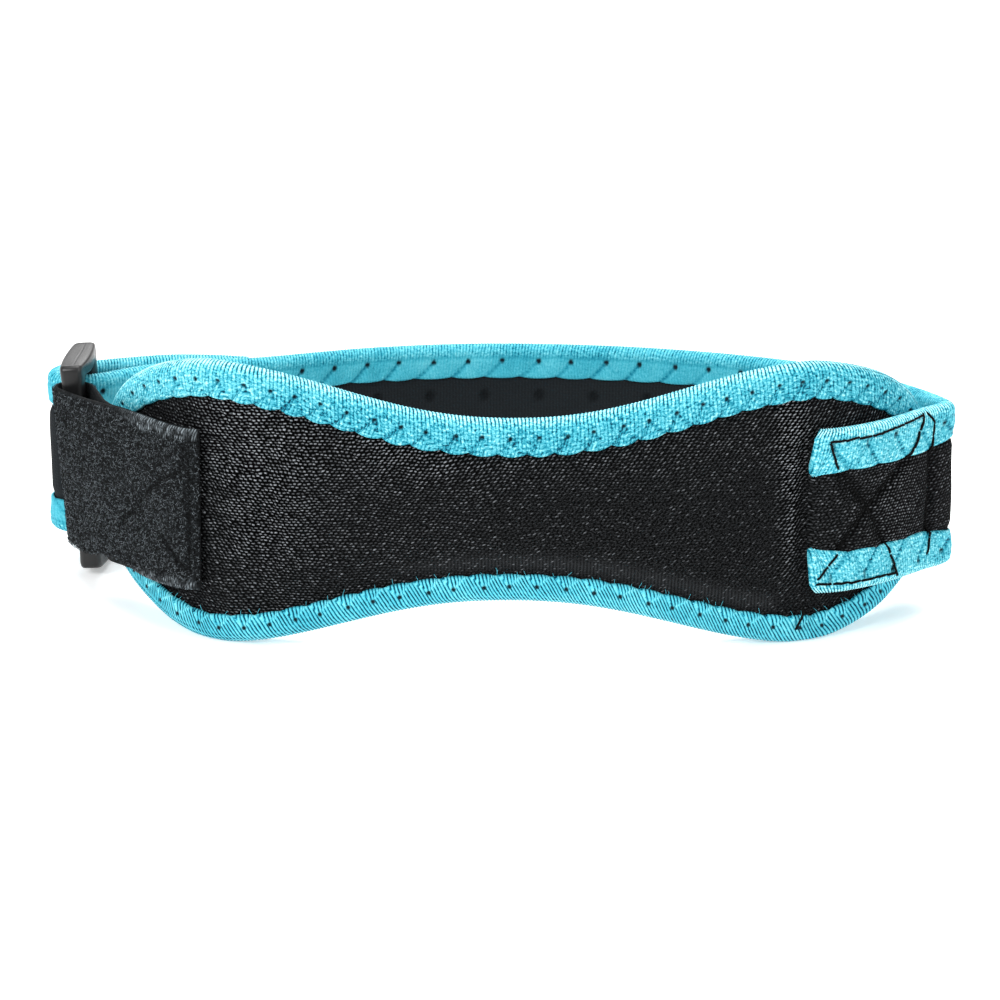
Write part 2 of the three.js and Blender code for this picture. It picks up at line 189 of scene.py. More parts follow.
class MeshDraft:
    """Grids, caps and filaments that become one mesh, with cloth coordinates and values at its points."""

    def __init__(self) -> None:
        """Starts an empty draft."""
        self.points: list[Array] = []
        self.corners: list[Array] = []
        self.sizes: list[Array] = []
        self.cloth: list[Array] = []
        self.values: list[dict[str, Array]] = []
        self.count = 0

    def _add_points(self, points: Array, values: Values | None) -> int:
        """Adds points with their values and gives the first one's number."""
        first = self.count
        flat = points.reshape(-1, 3)
        self.points.append(flat)
        shape = points.shape[:-1]
        self.values.append({name: np.broadcast_to(value, shape).ravel() for name, value in (values or {}).items()})
        self.count += len(flat)
        return first

    def _add_faces(self, corners: Array, cloth: Array) -> None:
        """Adds faces of equal size, given as one row of corners each."""
        self.corners.append(corners.ravel())
        self.sizes.append(np.full(len(corners), corners.shape[1]))
        self.cloth.append(cloth.reshape(-1, 2))

    def grid(
        self,
        points: Array,
        cloth: Array,
        values: Values | None = None,
        wrap: tuple[bool, bool] = (False, False),
        capped: bool = False,
        flip: bool = False,
    ) -> "MeshDraft":
        """Adds a surface over two parameters and hands the draft on.

        Args:
            points: Points by row and column. Rows crossed with columns point outwards.
            cloth: Cloth coordinates, with one more row or column than points where the grid is wrapped.
            values: Named values at the points.
            wrap: Whether the last row and the last column join the first.
            capped: Whether the first and last row are closed with one face each.
            flip: Whether columns crossed with rows point outwards instead.
        """
        rows, columns = points.shape[:2]
        first = self._add_points(points, values)
        i, j = np.meshgrid(np.arange(rows - (not wrap[0])), np.arange(columns - (not wrap[1])), indexing="ij")
        ends = [(i, j), (i + 1, j), (i + 1, j + 1), (i, j + 1)]
        if flip:
            ends.reverse()
        corners = np.stack([first + (a % rows) * columns + b % columns for a, b in ends], -1)
        self._add_faces(corners.reshape(-1, 4), np.stack([cloth[a, b] for a, b in ends], -2))
        if capped:
            start = first + np.arange(columns)
            end = start + (rows - 1) * columns
            order = slice(None, None, -1) if flip else slice(None)
            self._add_faces(start[None, order], cloth[0, :columns][order])
            self._add_faces(end[None, ::-1][:, order], cloth[rows - 1, :columns][::-1][order])
        return self

    def filaments(
        self, paths: Array, reference: Array, radius: float, sides: int, values: Values | None = None
    ) -> "MeshDraft":
        """Adds thin closed filaments along short paths and hands the draft on.

        Each path's inner points carry a ring of the radius, across the path, and its two end points are tips.

        Args:
            paths: Points by filament and step.
            reference: A direction that no path runs along, for each filament.
            radius: The rings' radius.
            sides: Corners of a ring.
            values: Named values of the filaments.
        """
        along = unit(np.gradient(paths, axis=1))
        side = unit(np.cross(along, reference[:, None, :]))
        other = np.cross(side, along)
        angle = np.arange(sides) * 2.0 * np.pi / sides
        spread = side[:, 1:-1, None] * np.cos(angle)[:, None] + other[:, 1:-1, None] * np.sin(angle)[:, None]
        rings = paths[:, 1:-1, None] + spread * radius
        points = np.concatenate([rings.reshape(len(paths), -1, 3), paths[:, :1], paths[:, -1:]], axis=1)
        triangles = self._filament_faces(rings.shape[1], sides)
        first = self._add_points(points, values)
        corners = (first + np.arange(len(paths))[:, None, None] * points.shape[1] + triangles[None]).reshape(-1, 3)
        self._add_faces(corners, np.zeros((len(corners), 3, 2)))
        return self

    @staticmethod
    def _filament_faces(steps: int, sides: int) -> Array:
        """Triangles of one filament: walls between neighbouring rings and a fan to the tip at each end."""
        ring, corner = np.meshgrid(np.arange(steps - 1) * sides, np.arange(sides), indexing="ij")
        here, next_corner = ring + corner, ring + (corner + 1) % sides
        walls = np.stack([here, next_corner, here + sides, next_corner, next_corner + sides, here + sides], -1)
        turn = np.arange(sides)
        following = (turn + 1) % sides
        last = (steps - 1) * sides
        start = np.stack([np.full(sides, steps * sides), following, turn], -1)
        end = np.stack([np.full(sides, steps * sides + 1), last + turn, last + following], -1)
        return np.concatenate([walls.reshape(-1, 3), start, end])

    def mesh(self, name: str, loop: LoopFrame) -> bpy.types.Mesh:
        """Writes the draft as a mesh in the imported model's frame, smooth shaded.

        Args:
            name: The mesh's name.
            loop: The frame that the points are in.

        Returns:
            The mesh, with its cloth coordinates and one attribute for each value.
        """
        corners, sizes = np.concatenate(self.corners), np.concatenate(self.sizes)
        mesh = bpy.data.meshes.new(name)
        mesh.vertices.add(self.count)
        mesh.vertices.foreach_set("co", loop.on_floor(np.concatenate(self.points)).astype(np.float32).ravel())
        mesh.loops.add(len(corners))
        mesh.loops.foreach_set("vertex_index", corners.astype(np.int32))
        mesh.polygons.add(len(sizes))
        mesh.polygons.foreach_set("loop_start", (np.cumsum(sizes) - sizes).astype(np.int32))
        mesh.update(calc_edges=True)
        layer = mesh.uv_layers.new(name=CLOTH_UV)
        layer.uv.foreach_set("vector", np.concatenate(self.cloth).astype(np.float32).ravel())
        for value in sorted({name for values in self.values for name in values}):
            parts = [v.get(value, np.zeros(len(p))) for v, p in zip(self.values, self.points)]
            attribute = mesh.attributes.new(value, "FLOAT", "POINT")
            attribute.data.foreach_set("value", np.concatenate(parts).astype(np.float32))
        mesh.shade_smooth()
        return mesh


@dataclass(frozen=True)
class PadShape:
    """The pad's middle surface and outline, with s along the bent pad from its middle."""

    half_length: float = 99.8
    centre_z: float = 32.0
    waist_half: float = 21.0
    lobe_half: float = 32.5
    lobe_at: float = 67.3
    tip_half: float = 11.5
    waist_ease: float = 1.13
    tip_squareness: float = 1.37
    tip_roundness: float = 0.46
    left_bends: Line = ((53.7, 5.6), (25.6, 43.1))
    right_bends: Line = ((57.3, 9.6), (30.3, 36.9))
    plan_margin: float = 5.0
    plan_rows: int = 4201
    outline_rows: int = 4001
    softening: float = 1.2

    @staticmethod
    def _turned(run: Array, bends: Line) -> Array:
        """Angle turned after a run: each bend turns evenly over its own length."""
        runs = np.cumsum([0.0] + [length for length, _ in bends])
        turns = np.radians(np.cumsum([0.0] + [turn for _, turn in bends]))
        return np.interp(run, runs, turns)

    def heading(self, s: Array) -> Array:
        """Direction of the middle surface in plan, in radians, negative on the left."""
        return np.where(s < 0.0, -self._turned(-s, self.left_bends), self._turned(s, self.right_bends))

    def normal(self, s: Array) -> Array:
        """Unit direction out of the middle surface."""
        turn = self.heading(s)
        return np.stack([np.sin(turn), -np.cos(turn), np.zeros_like(turn)], -1)

    @cached_property
    def plan(self) -> tuple[Array, Array, Array]:
        """Table of s, x and y: the heading's cosine and sine summed along s from the pad's middle."""
        end = self.half_length + self.plan_margin
        s = np.linspace(-end, end, self.plan_rows)
        middle = self.heading((s[1:] + s[:-1]) / 2.0)
        x = np.concatenate([[0.0], np.cumsum(np.diff(s) * np.cos(middle))])
        y = np.concatenate([[0.0], np.cumsum(np.diff(s) * np.sin(middle))])
        return s, x - np.interp(0.0, s, x), y - np.interp(0.0, s, y)

    def point(self, s: Array, rise: Array, out: Array) -> Array:
        """Point at s along the pad, a rise above its middle line and a distance out of its middle surface."""
        s, rise, out = np.broadcast_arrays(s, rise, out)
        table_s, table_x, table_y = self.plan
        turn = self.heading(s)
        x = np.interp(s, table_s, table_x) + out * np.sin(turn)
        y = np.interp(s, table_s, table_y) - out * np.cos(turn)
        return np.stack([x, y, self.centre_z + rise], -1)

    def half_height(self, s: Array) -> Array:
        """Half height of the outline: a cosine swell from waist to lobe, then a superellipse to the tip."""
        run = np.abs(s)
        swell = (1.0 - np.cos(np.pi * np.minimum(run / self.lobe_at, 1.0) ** self.waist_ease)) / 2.0
        share = np.clip((run - self.lobe_at) / (self.half_length - self.lobe_at), 0.0, 1.0)
        tip = (1.0 - share**self.tip_squareness) ** self.tip_roundness
        inner = self.waist_half + (self.lobe_half - self.waist_half) * swell
        return np.where(run < self.lobe_at, inner, self.tip_half + (self.lobe_half - self.tip_half) * tip)

    def edge(self, count: int) -> "PadEdge":
        """Evenly spaced points of the outline, clockwise from the left tip, with softened directions to the inside."""
        bow = np.sin(np.linspace(-0.5, 0.5, self.outline_rows) * np.pi) * self.half_length
        rise = self.half_height(bow)
        tip = [-self.half_length]
        s = np.concatenate([tip, bow, bow[::-1], tip])
        z = np.concatenate([[0.0], rise, -rise[::-1], [0.0]])
        run = np.concatenate([[0.0], np.cumsum(np.hypot(np.diff(s), np.diff(z)))])
        travel = np.arange(count) / count * run[-1]
        s, z = np.interp(travel, run, s), np.interp(travel, run, z)
        reach = max(1, round(self.softening / (run[-1] / count)))
        along_s = np.roll(s, -reach) - np.roll(s, reach)
        along_z = np.roll(z, -reach) - np.roll(z, reach)
        inward = unit(np.stack([along_z, -along_s], -1))
        return PadEdge(self, travel, float(run[-1]), s, z, inward)


@dataclass(frozen=True)
class PadEdge:
    """Evenly spaced points of the pad's outline."""

    shape: PadShape
    travel: Array
    length: float
    s: Array
    z: Array
    inward: Array

    def place(self, depth: Array, out: Array) -> Array:
        """Points by station and column, at a depth inside the outline and out of the middle surface."""
        s = self.s[:, None] + self.inward[:, :1] * depth
        z = self.z[:, None] + self.inward[:, 1:] * depth
        return self.shape.point(s, z, out)


class Course:
    """A strap's middle line: a centripetal Catmull-Rom curve through plan places, with a lean at each of them."""

    SAMPLES = 160

    def __init__(self, rows: Array, lean_deg: float) -> None:
        """Works out a table of the curve by its length.

        Each piece between two places is the cubic with the non-uniform Catmull-Rom slopes, whose knots are the square
        roots of the distances. The curve's ends go on straight.

        Args:
            rows: x, y, z and share of the lean for each place.
            lean_deg: The full lean, to -X at the top.
        """
        places = rows[:, :3]
        ends = [2.0 * places[:1] - places[1:2], places, 2.0 * places[-1:] - places[-2:-1]]
        p = np.concatenate(ends)
        knots = np.sqrt(np.linalg.norm(np.diff(p, axis=0), axis=1))[:, None]
        d0, d1, d2 = knots[:-2], knots[1:-1], knots[2:]
        p0, p1, p2, p3 = p[:-3], p[1:-2], p[2:-1], p[3:]
        m1 = ((p1 - p0) / d0 - (p2 - p0) / (d0 + d1) + (p2 - p1) / d1) * d1
        m2 = ((p2 - p1) / d1 - (p3 - p1) / (d1 + d2) + (p3 - p2) / d2) * d1
        t = (np.arange(self.SAMPLES) / self.SAMPLES)[None, :, None]
        c2 = -3.0 * p1 + 3.0 * p2 - 2.0 * m1 - m2
        c3 = 2.0 * p1 - 2.0 * p2 + m1 + m2
        curve = p1[:, None] + t * (m1[:, None] + t * (c2[:, None] + t * c3[:, None]))
        slope = m1[:, None] + t * (2.0 * c2[:, None] + t * 3.0 * c3[:, None])
        self.points = np.concatenate([curve.reshape(-1, 3), places[-1:]])
        flat = np.concatenate([slope.reshape(-1, 3), m2[-1:]])[:, :2]
        self.along = unit(flat)
        leans = np.interp(np.arange(len(self.points)) / self.SAMPLES, np.arange(len(rows)), rows[:, 3])
        self.sway = -leans * np.tan(np.radians(lean_deg))
        steps = np.linalg.norm(np.diff(self.points, axis=0), axis=1)
        self.travel = np.concatenate([[0.0], np.cumsum(steps)])
        self.length = float(self.travel[-1])

    def _at(self, travel: Array, table: Array) -> Array:
        """A table's columns at distances along the curve."""
        return np.stack([np.interp(travel, self.travel, column) for column in table.T], -1)

    def heading(self, travel: Array) -> Array:
        """Level unit direction along the curve."""
        level = unit(self._at(travel, self.along))
        return np.concatenate([level, np.zeros_like(level[..., :1])], -1)

    def out(self, travel: Array) -> Array:
        """Level unit direction out of the loop, square to the curve."""
        along = self.heading(travel)
        return np.stack([along[..., 1], -along[..., 0], along[..., 2]], -1)

    def up(self, travel: Array) -> Array:
        """Direction across the strap, which leans with the ring."""
        sway = np.interp(travel, self.travel, self.sway)
        return np.stack([sway, np.zeros_like(sway), np.ones_like(sway)], -1)

    def place(self, travel: Array, height: Array, out: Array) -> Array:
        """Points at a distance along the curve, a height across the strap and out of its middle surface."""
        travel, height, out = np.broadcast_arrays(travel, height, out)
        shift = self.up(travel) * height[..., None] + self.out(travel) * out[..., None]
        return self._at(travel, self.points) + shift


def math_node(operation: str, swapped: bool = False) -> Callable[..., "Term"]:
    """A method of terms that adds one Math node, in which the term may be swapped to the end."""

    def method(term: "Term", *others: "Term | float") -> "Term":
        """Adds the node over the term and the other values."""
        values = (*others, term) if swapped else (term, *others)
        return term.graph.node("ShaderNodeMath", {"operation": operation}, dict(enumerate(values)))

    return method


class Term:
    """A socket's value, which can be used in sums that add Math nodes."""

    __add__ = __radd__ = math_node("ADD")
    __sub__, __rsub__ = math_node("SUBTRACT"), math_node("SUBTRACT", swapped=True)
    __mul__ = __rmul__ = math_node("MULTIPLY")
    __truediv__, __pow__ = math_node("DIVIDE"), math_node("POWER")
    __abs__ = math_node("ABSOLUTE")
    floor, fraction = math_node("FLOOR"), math_node("FRACT")
    above, below = math_node("MAXIMUM"), math_node("MINIMUM")

    def __init__(self, graph: "NodeGraph", socket: bpy.types.NodeSocket) -> None:
        """Wraps an output socket of a graph."""
        self.graph = graph
        self.socket = socket


class NodeGraph:
    """The node tree of one material round its Principled shader."""

    def __init__(self, name: str, constants: dict[str, float | Colour]) -> None:
        """Makes the material, with values by socket that are the same all over."""
        self.material = bpy.data.materials.new(name)
        self.material.use_nodes = True
        self.tree = self.material.node_tree
        self.shader = next(n for n in self.tree.nodes if n.type == "BSDF_PRINCIPLED")
        for socket, value in constants.items():
            self.shader.inputs[socket].default_value = value

    def feed(self, socket: bpy.types.NodeSocket, value: "Term | float | Colour") -> None:
        """Links a term to a socket, or sets a number on it."""
        if isinstance(value, Term):
            self.tree.links.new(value.socket, socket)
        else:
            socket.default_value = value

    def node(self, kind: str, settings: dict, inputs: dict, output: int | str = 0) -> Term:
        """Adds a node.

        Args:
            kind: The node's type.
            settings: Its own settings, which are set first; stops are a ramp's places and colours.
            inputs: Values or terms by socket.
            output: The output that is wanted.

        Returns:
            The output as a term.
        """
        node = self.tree.nodes.new(kind)
        for name, value in settings.items():
            if name == "stops":
                self._set_stops(node.color_ramp, value)
            else:
                setattr(node, name, value)
        for socket, value in inputs.items():
            self.feed(node.inputs[socket], value)
        return Term(self, node.outputs[output])

    @staticmethod
    def _set_stops(ramp: bpy.types.ColorRamp, stops: tuple[tuple[float, Colour], ...]) -> None:
        """Gives a ramp its stops."""
        while len(ramp.elements) < len(stops):
            ramp.elements.new(1.0)
        for element, (place, colour) in zip(ramp.elements, stops):
            element.position = place
            element.color = colour

    def cloth(self) -> Term:
        """Cloth coordinates in millimetres."""
        return self.node("ShaderNodeUVMap", {"uv_map": CLOTH_UV}, {})

    def object_point(self) -> Term:
        """Object coordinates in metres."""
        return self.node("ShaderNodeTexCoord", {}, {}, "Object")

    def value(self, name: str) -> Term:
        """A value of the mesh's points."""
        return self.node("ShaderNodeAttribute", {"attribute_name": name}, {}, "Fac")

    def parts(self, vector: Term) -> tuple[Term, Term, Term]:
        """A vector's three numbers."""
        node = self.node("ShaderNodeSeparateXYZ", {}, {0: vector}).socket.node
        return tuple(Term(self, socket) for socket in node.outputs)

    def vector(self, x: Term | float, y: Term | float, z: Term | float = 0.0) -> Term:
        """A vector of three numbers."""
        return self.node("ShaderNodeCombineXYZ", {}, {0: x, 1: y, 2: z})

    def noise(self, vector: Term, scale: float, detail: float = 2.0, roughness: float = 0.5) -> Term:
        """Soft noise of 0 to 1 about its middle."""
        inputs = {"Vector": vector, "Scale": scale, "Detail": detail, "Roughness": roughness}
        return self.node("ShaderNodeTexNoise", {}, inputs)

    def cell(self, x: Term, y: Term) -> Term:
        """One random number of 0 to 1 for each whole pair."""
        return self.node("ShaderNodeTexWhiteNoise", {"noise_dimensions": "2D"}, {"Vector": self.vector(x, y)})

    def ramp(self, share: Term, stops: tuple[tuple[float, Colour], ...]) -> Term:
        """Colour of a share between stops."""
        return self.node("ShaderNodeValToRGB", {"stops": stops}, {0: share})

    def blend(self, share: Term, first: "Term | Colour", second: "Term | Colour", kind: str = "MIX") -> Term:
        """Mix of two colours."""
        settings = {"data_type": "RGBA", "blend_type": kind}
        return self.node("ShaderNodeMix", settings, {0: share, 6: first, 7: second}, 2)

    def finish(self, colour: Term, roughness: Term, height: Term, distance: float) -> Material:
        """Feeds colour, roughness and a relief of 0 to 1, with its depth in metres, into the shader."""
        relief = self.node("ShaderNodeBump", {}, {"Strength": 1.0, "Distance": distance, "Height": height})
        for socket, term in {"Base Color": colour, "Roughness": roughness, "Normal": relief}.items():
            self.feed(self.shader.inputs[socket], term)
        return self.material


def grey(level: float, tint: Triple = (1.0, 1.0, 1.0)) -> Colour:
    """A grey of one level with a slight tint."""
    return (level * tint[0], level * tint[1], level * tint[2], 1.0)


@dataclass(frozen=True)
class KnitFinish:
    """Black knit: rows of short slanted floats in brick order over a dark ground, and a smooth lining behind."""

    name: str
    row_pitch: float = 0.7
    float_pitch: float = 1.0
    wale_pitch: float = 0.75
    tilt: float = 2.2
    drift: Pair = (2.0, 3.0)
    flutter: float = 0.6
    scatter: float = 0.3
    taper: Pair = (1.6, 2.9)
    closed: Pair = (0.0006, 0.025)
    opened: float = 0.0002
    turned: Pair = (0.007, 0.042)
    turned_share: float = 0.7
    # grey of the floats' painted glints
    yarn: float = 0.46
    lining: Pair = (0.009, 0.0279)
    # grey of the painted shade in creases and dimples
    sewn: float = 0.0012
    tint: Triple = (0.94, 1.0, 1.07)
    lining_tint: Triple = (0.84, 1.0, 1.12)
    gloss: float = 0.025
    relief: float = 0.00026

    def _floats(self, g: NodeGraph, cloth: Term) -> tuple[Term, Term]:
        """Height of rounded cells in brick order, whose rows wander a little, and a random number for each cell."""
        u, v, _ = g.parts(cloth)
        drift = g.noise(cloth, 0.05, 1.0) - 0.5
        flutter = (g.noise(cloth, 0.6, 1.0) - 0.5) * self.flutter
        sway = (g.noise(cloth, 0.14, 1.0) - 0.5) * 0.5 + g.value("lean")
        row = (v + drift * self.drift[1] + flutter) / self.row_pitch
        row_index = row.floor()
        column = (u + drift * self.drift[0] + flutter) / self.float_pitch + (row_index * 0.5).fraction()
        place = column.fraction() - 0.5
        chance = g.cell(row_index, column.floor())
        nudge = g.cell(row_index + 0.37, column.floor() + 0.61) - 0.5
        across = abs(row.fraction() - 0.5 + place * sway * self.tilt + nudge * self.scatter) * 2.0
        along = abs(place + (chance - 0.5) * self.scatter) * 2.0
        height = (1.0 - across**2.0 * self.taper[1]).above(0.0) * (1.0 - along**2.0 * self.taper[0]).above(0.0)
        return height, chance

    def material(self) -> Material:
        """More floats carry painted glints where the knit is stretched open and where painted highlights fall, and
        wales show where it turns under and on the lining.
        """
        g = NodeGraph(self.name, {"Specular IOR Level": self.gloss})
        cloth = g.cloth()
        yarn, chance = self._floats(g, cloth)
        speck = g.noise(cloth, 2.2, 2.0, 0.6)
        wale = abs((g.parts(cloth)[0] / self.wale_pitch).fraction() - 0.5) * 2.0
        stretch, inside = g.value("stretch"), g.value("lining")
        opening = (stretch * 1.7 - 0.55).above(0.0).below(1.0)
        # Painted glints: floats turned bright grey, most where the value of openness and glints is high.
        rare, often = 0.04 + 1.1 * chance**7.0, 0.25 + 0.75 * chance**1.3
        patches = 0.68 + 0.6 * g.noise(cloth, 0.16, 2.0, 0.6)
        painted_glint = yarn**1.3 * (rare + (often - rare) * opening) * stretch * patches
        cover = (yarn * 0.7 + speck * 3.2 - 1.4).above(0.0).below(1.0)
        plush = speck * 0.5 + yarn * 0.2 + wale * 0.3
        closed, turned = ([grey(level, self.tint) for level in pair] for pair in (self.closed, self.turned))
        tight = g.blend(g.value("under") * self.turned_share, g.blend(cover, *closed), g.blend(wale, *turned))
        ground = g.blend(opening, tight, grey(self.opened, self.tint))
        outer = g.blend(painted_glint.below(1.0), ground, grey(self.yarn, self.tint))
        inner = g.blend(plush, *(grey(level, self.lining_tint) for level in self.lining))
        # Painted shade in the band's creases and in the linings' dimples.
        colour = g.blend(g.value("seam"), g.blend(inside, outer, inner), grey(self.sewn))
        roughness = 0.66 + 0.2 * speck - 0.1 * inside
        height = yarn * (1.0 - 0.75 * inside) + speck * 0.12
        return g.finish(colour, roughness, height, self.relief)


@dataclass(frozen=True)
class TapeFinish:
    """Blue elastic tape: beaded ribs with painted highlights on their ridges and painted shade in the thin gaps,
    painted shade in the seams and dark needle holes.
    """

    name: str = "blue_ribbed_tape"
    # stops from the painted shade of the gaps to the painted highlights of the ridges
    stops: tuple[tuple[float, Colour], ...] = (
        (0.0, (0.0005, 0.035, 0.065, 1.0)),
        (0.25, (0.003, 0.22, 0.325, 1.0)),
        (0.5, (0.06, 0.45, 0.57, 1.0)),
        (0.75, (0.19, 0.68, 0.78, 1.0)),
        (1.0, (0.5, 0.92, 0.95, 1.0)),
    )
    # painted shade: a deeper, less red tint of the lower, pleated tape
    deep: Colour = (0.68, 0.96, 1.0, 1.0)
    hole: Colour = (0.0015, 0.012, 0.02, 1.0)
    gap_sharpness: float = 2.4
    gloss: float = 0.12
    relief: float = 0.00028

    def material(self) -> Material:
        """Tone is the ribs' height with each rib's own beads, as painted highlight on the ridges and painted shade in
        the gaps, with painted glints along the rim and painted shade in the seam's grooves; it picks from the stops.
        """
        g = NodeGraph(self.name, {"Specular IOR Level": self.gloss})
        ribs, v, _ = g.parts(g.cloth())

        def uneven(rib: Term, along: float, across: float, detail: float, roughness: float = 0.5) -> Term:
            """Noise about 0 over the count of ribs and the distance across the tape."""
            return g.noise(g.vector(rib * along, v * across), 1.0, detail, roughness) - 0.5

        rib = ribs + uneven(ribs, 0.35, 0.35, 2.0) * 0.5
        # Painted shade in the gaps between ribs, painted highlight on the ridges.
        gap = (abs(rib.fraction() - 0.5) * 2.0) ** self.gap_sharpness
        ridge = 1.0 - gap
        fading = 1.0 + 2.4 * uneven(ribs, 0.6, 0.8, 1.0)
        bead = uneven(rib.floor(), 7.31, 1.7, 1.0)
        crumple = uneven(ribs, 0.8, 1.5, 2.0, 0.65)
        fibre = uneven(ribs, 2.6, 2.2, 2.0, 0.6)
        patch = uneven(ribs, 0.09, 0.12, 2.0)
        seam, hole, crimp, ribbing = (g.value(name) for name in ("seam", "hole", "crimp", "ribbing"))
        # Painted light: glints on the ridges along the fold's rim, less painted shade in the seam's grooves, with
        # random patches; the painted highlight value in the tone lifts it further.
        painted_light = g.value("rim") * (ridge - 0.55) * 0.85 - 0.42 * seam + 0.4 * patch
        crinkle = crimp * (0.7 * bead + 1.7 * crumple) + (0.3 + 0.8 * crimp) * fibre
        tone = 0.5 + ribbing * (0.25 - gap * fading) + crinkle + painted_light + g.value("bright")
        # Painted shade on the lower, pleated tape.
        woven = g.blend(g.value("deep"), g.ramp(tone, self.stops), self.deep, "MULTIPLY")
        colour = g.blend(hole, woven, self.hole)
        height = 0.6 * ribbing * ridge + 0.7 * crimp * (bead + crumple) + 0.3 * fibre
        return g.finish(colour, 0.66 - 0.2 * ridge, height, self.relief)


@dataclass(frozen=True)
class PileFinish:
    """Brushed black loop pile, or the woven tape under it."""

    name: str
    dark: float
    light: float
    # grey of the painted shade in the tab's creases
    sewn: float = 0.003
    tint: Triple = (0.86, 1.0, 1.09)
    gloss: float = 0.08
    relief: float = 0.00012

    def material(self) -> Material:
        """Each loop has its own tone, and the ground a fine speckle."""
        g = NodeGraph(self.name, {"Specular IOR Level": self.gloss})
        speck = g.noise(g.object_point(), 1900.0, 2.0, 0.6)
        tone = (g.value("tone") * 0.82 + speck * 0.3 - 0.1).above(0.0)
        shade = g.blend(tone**1.6, grey(self.dark, self.tint), grey(self.light, self.tint))
        # Painted shade along the tab's stitched creases.
        colour = g.blend(g.value("seam"), shade, grey(self.sewn))
        return g.finish(colour, 0.65 + 0.2 * speck, speck, self.relief)


@dataclass(frozen=True)
class PlasticFinish:
    """Dark grey moulded plastic with a fine spark texture and painted highlights along its edges."""

    name: str = "grey_moulding"
    body: Pair = (0.007, 0.014)
    # grey of the painted edge highlights
    painted_light: float = 0.07
    tint: Triple = (1.0, 1.02, 1.06)
    parting_at: float = -0.18
    relief: float = 0.00007

    def material(self) -> Material:
        """Grain comes from fine noise, and the edge value lifts the colour along the edges as a painted highlight."""
        g = NodeGraph(self.name, {"Specular IOR Level": 0.33, "Coat Weight": 0.05, "Coat Roughness": 0.3})
        point = g.object_point()
        grain = g.noise(point, 2600.0, 2.0, 0.6)
        cloud = g.noise(point, 160.0, 3.0)
        # Painted highlight along the ring's edges, patchy by the cloud.
        edge_highlight = g.value("edge") * (0.4 + 0.9 * cloud)
        body = g.blend(cloud, *(grey(level, self.tint) for level in self.body))
        colour = g.blend(edge_highlight.below(1.0), body, grey(self.painted_light))
        parting = (1.0 - abs(g.value("parting") - self.parting_at) * 9.0).above(0.0)
        return g.finish(colour, 0.25 + 0.16 * cloud, grain * 0.4 + parting, self.relief)


@dataclass(frozen=True)
class ThreadFinish:
    """Twisted sewing thread."""

    name: str
    dark: Colour
    light: Colour

    def material(self) -> Material:
        """The ply shows as a fine speckle between two tones."""
        g = NodeGraph(self.name, {"Specular IOR Level": 0.06})
        ply = g.noise(g.object_point(), 3000.0, 1.0)
        return g.finish(g.blend(ply, self.dark, self.light), 0.55 + 0.2 * ply, ply, 0.00006)


@dataclass(frozen=True)
class Bench:
    """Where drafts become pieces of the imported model's body."""

    loop: LoopFrame

    def piece(
        self, name: str, draft: MeshDraft, material: Material, slot: Slot, nodes: tuple[str, ...] = ()
    ) -> Piece:
        """Makes a piece that rides on the body.

        Args:
            name: The piece's name.
            draft: Its shape.
            material: Its finish.
            slot: The record's material slot that it belongs to; not used.
            nodes: The solids that it stands for.

        Returns:
            The piece.
        """
        piece = linked(name, draft.mesh(name, self.loop))
        piece.data.materials.append(material)
        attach(piece, BODY)
        if nodes:
            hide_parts(*nodes)
        LOG.info("%s: %d faces", name, len(piece.data.polygons))
        return piece


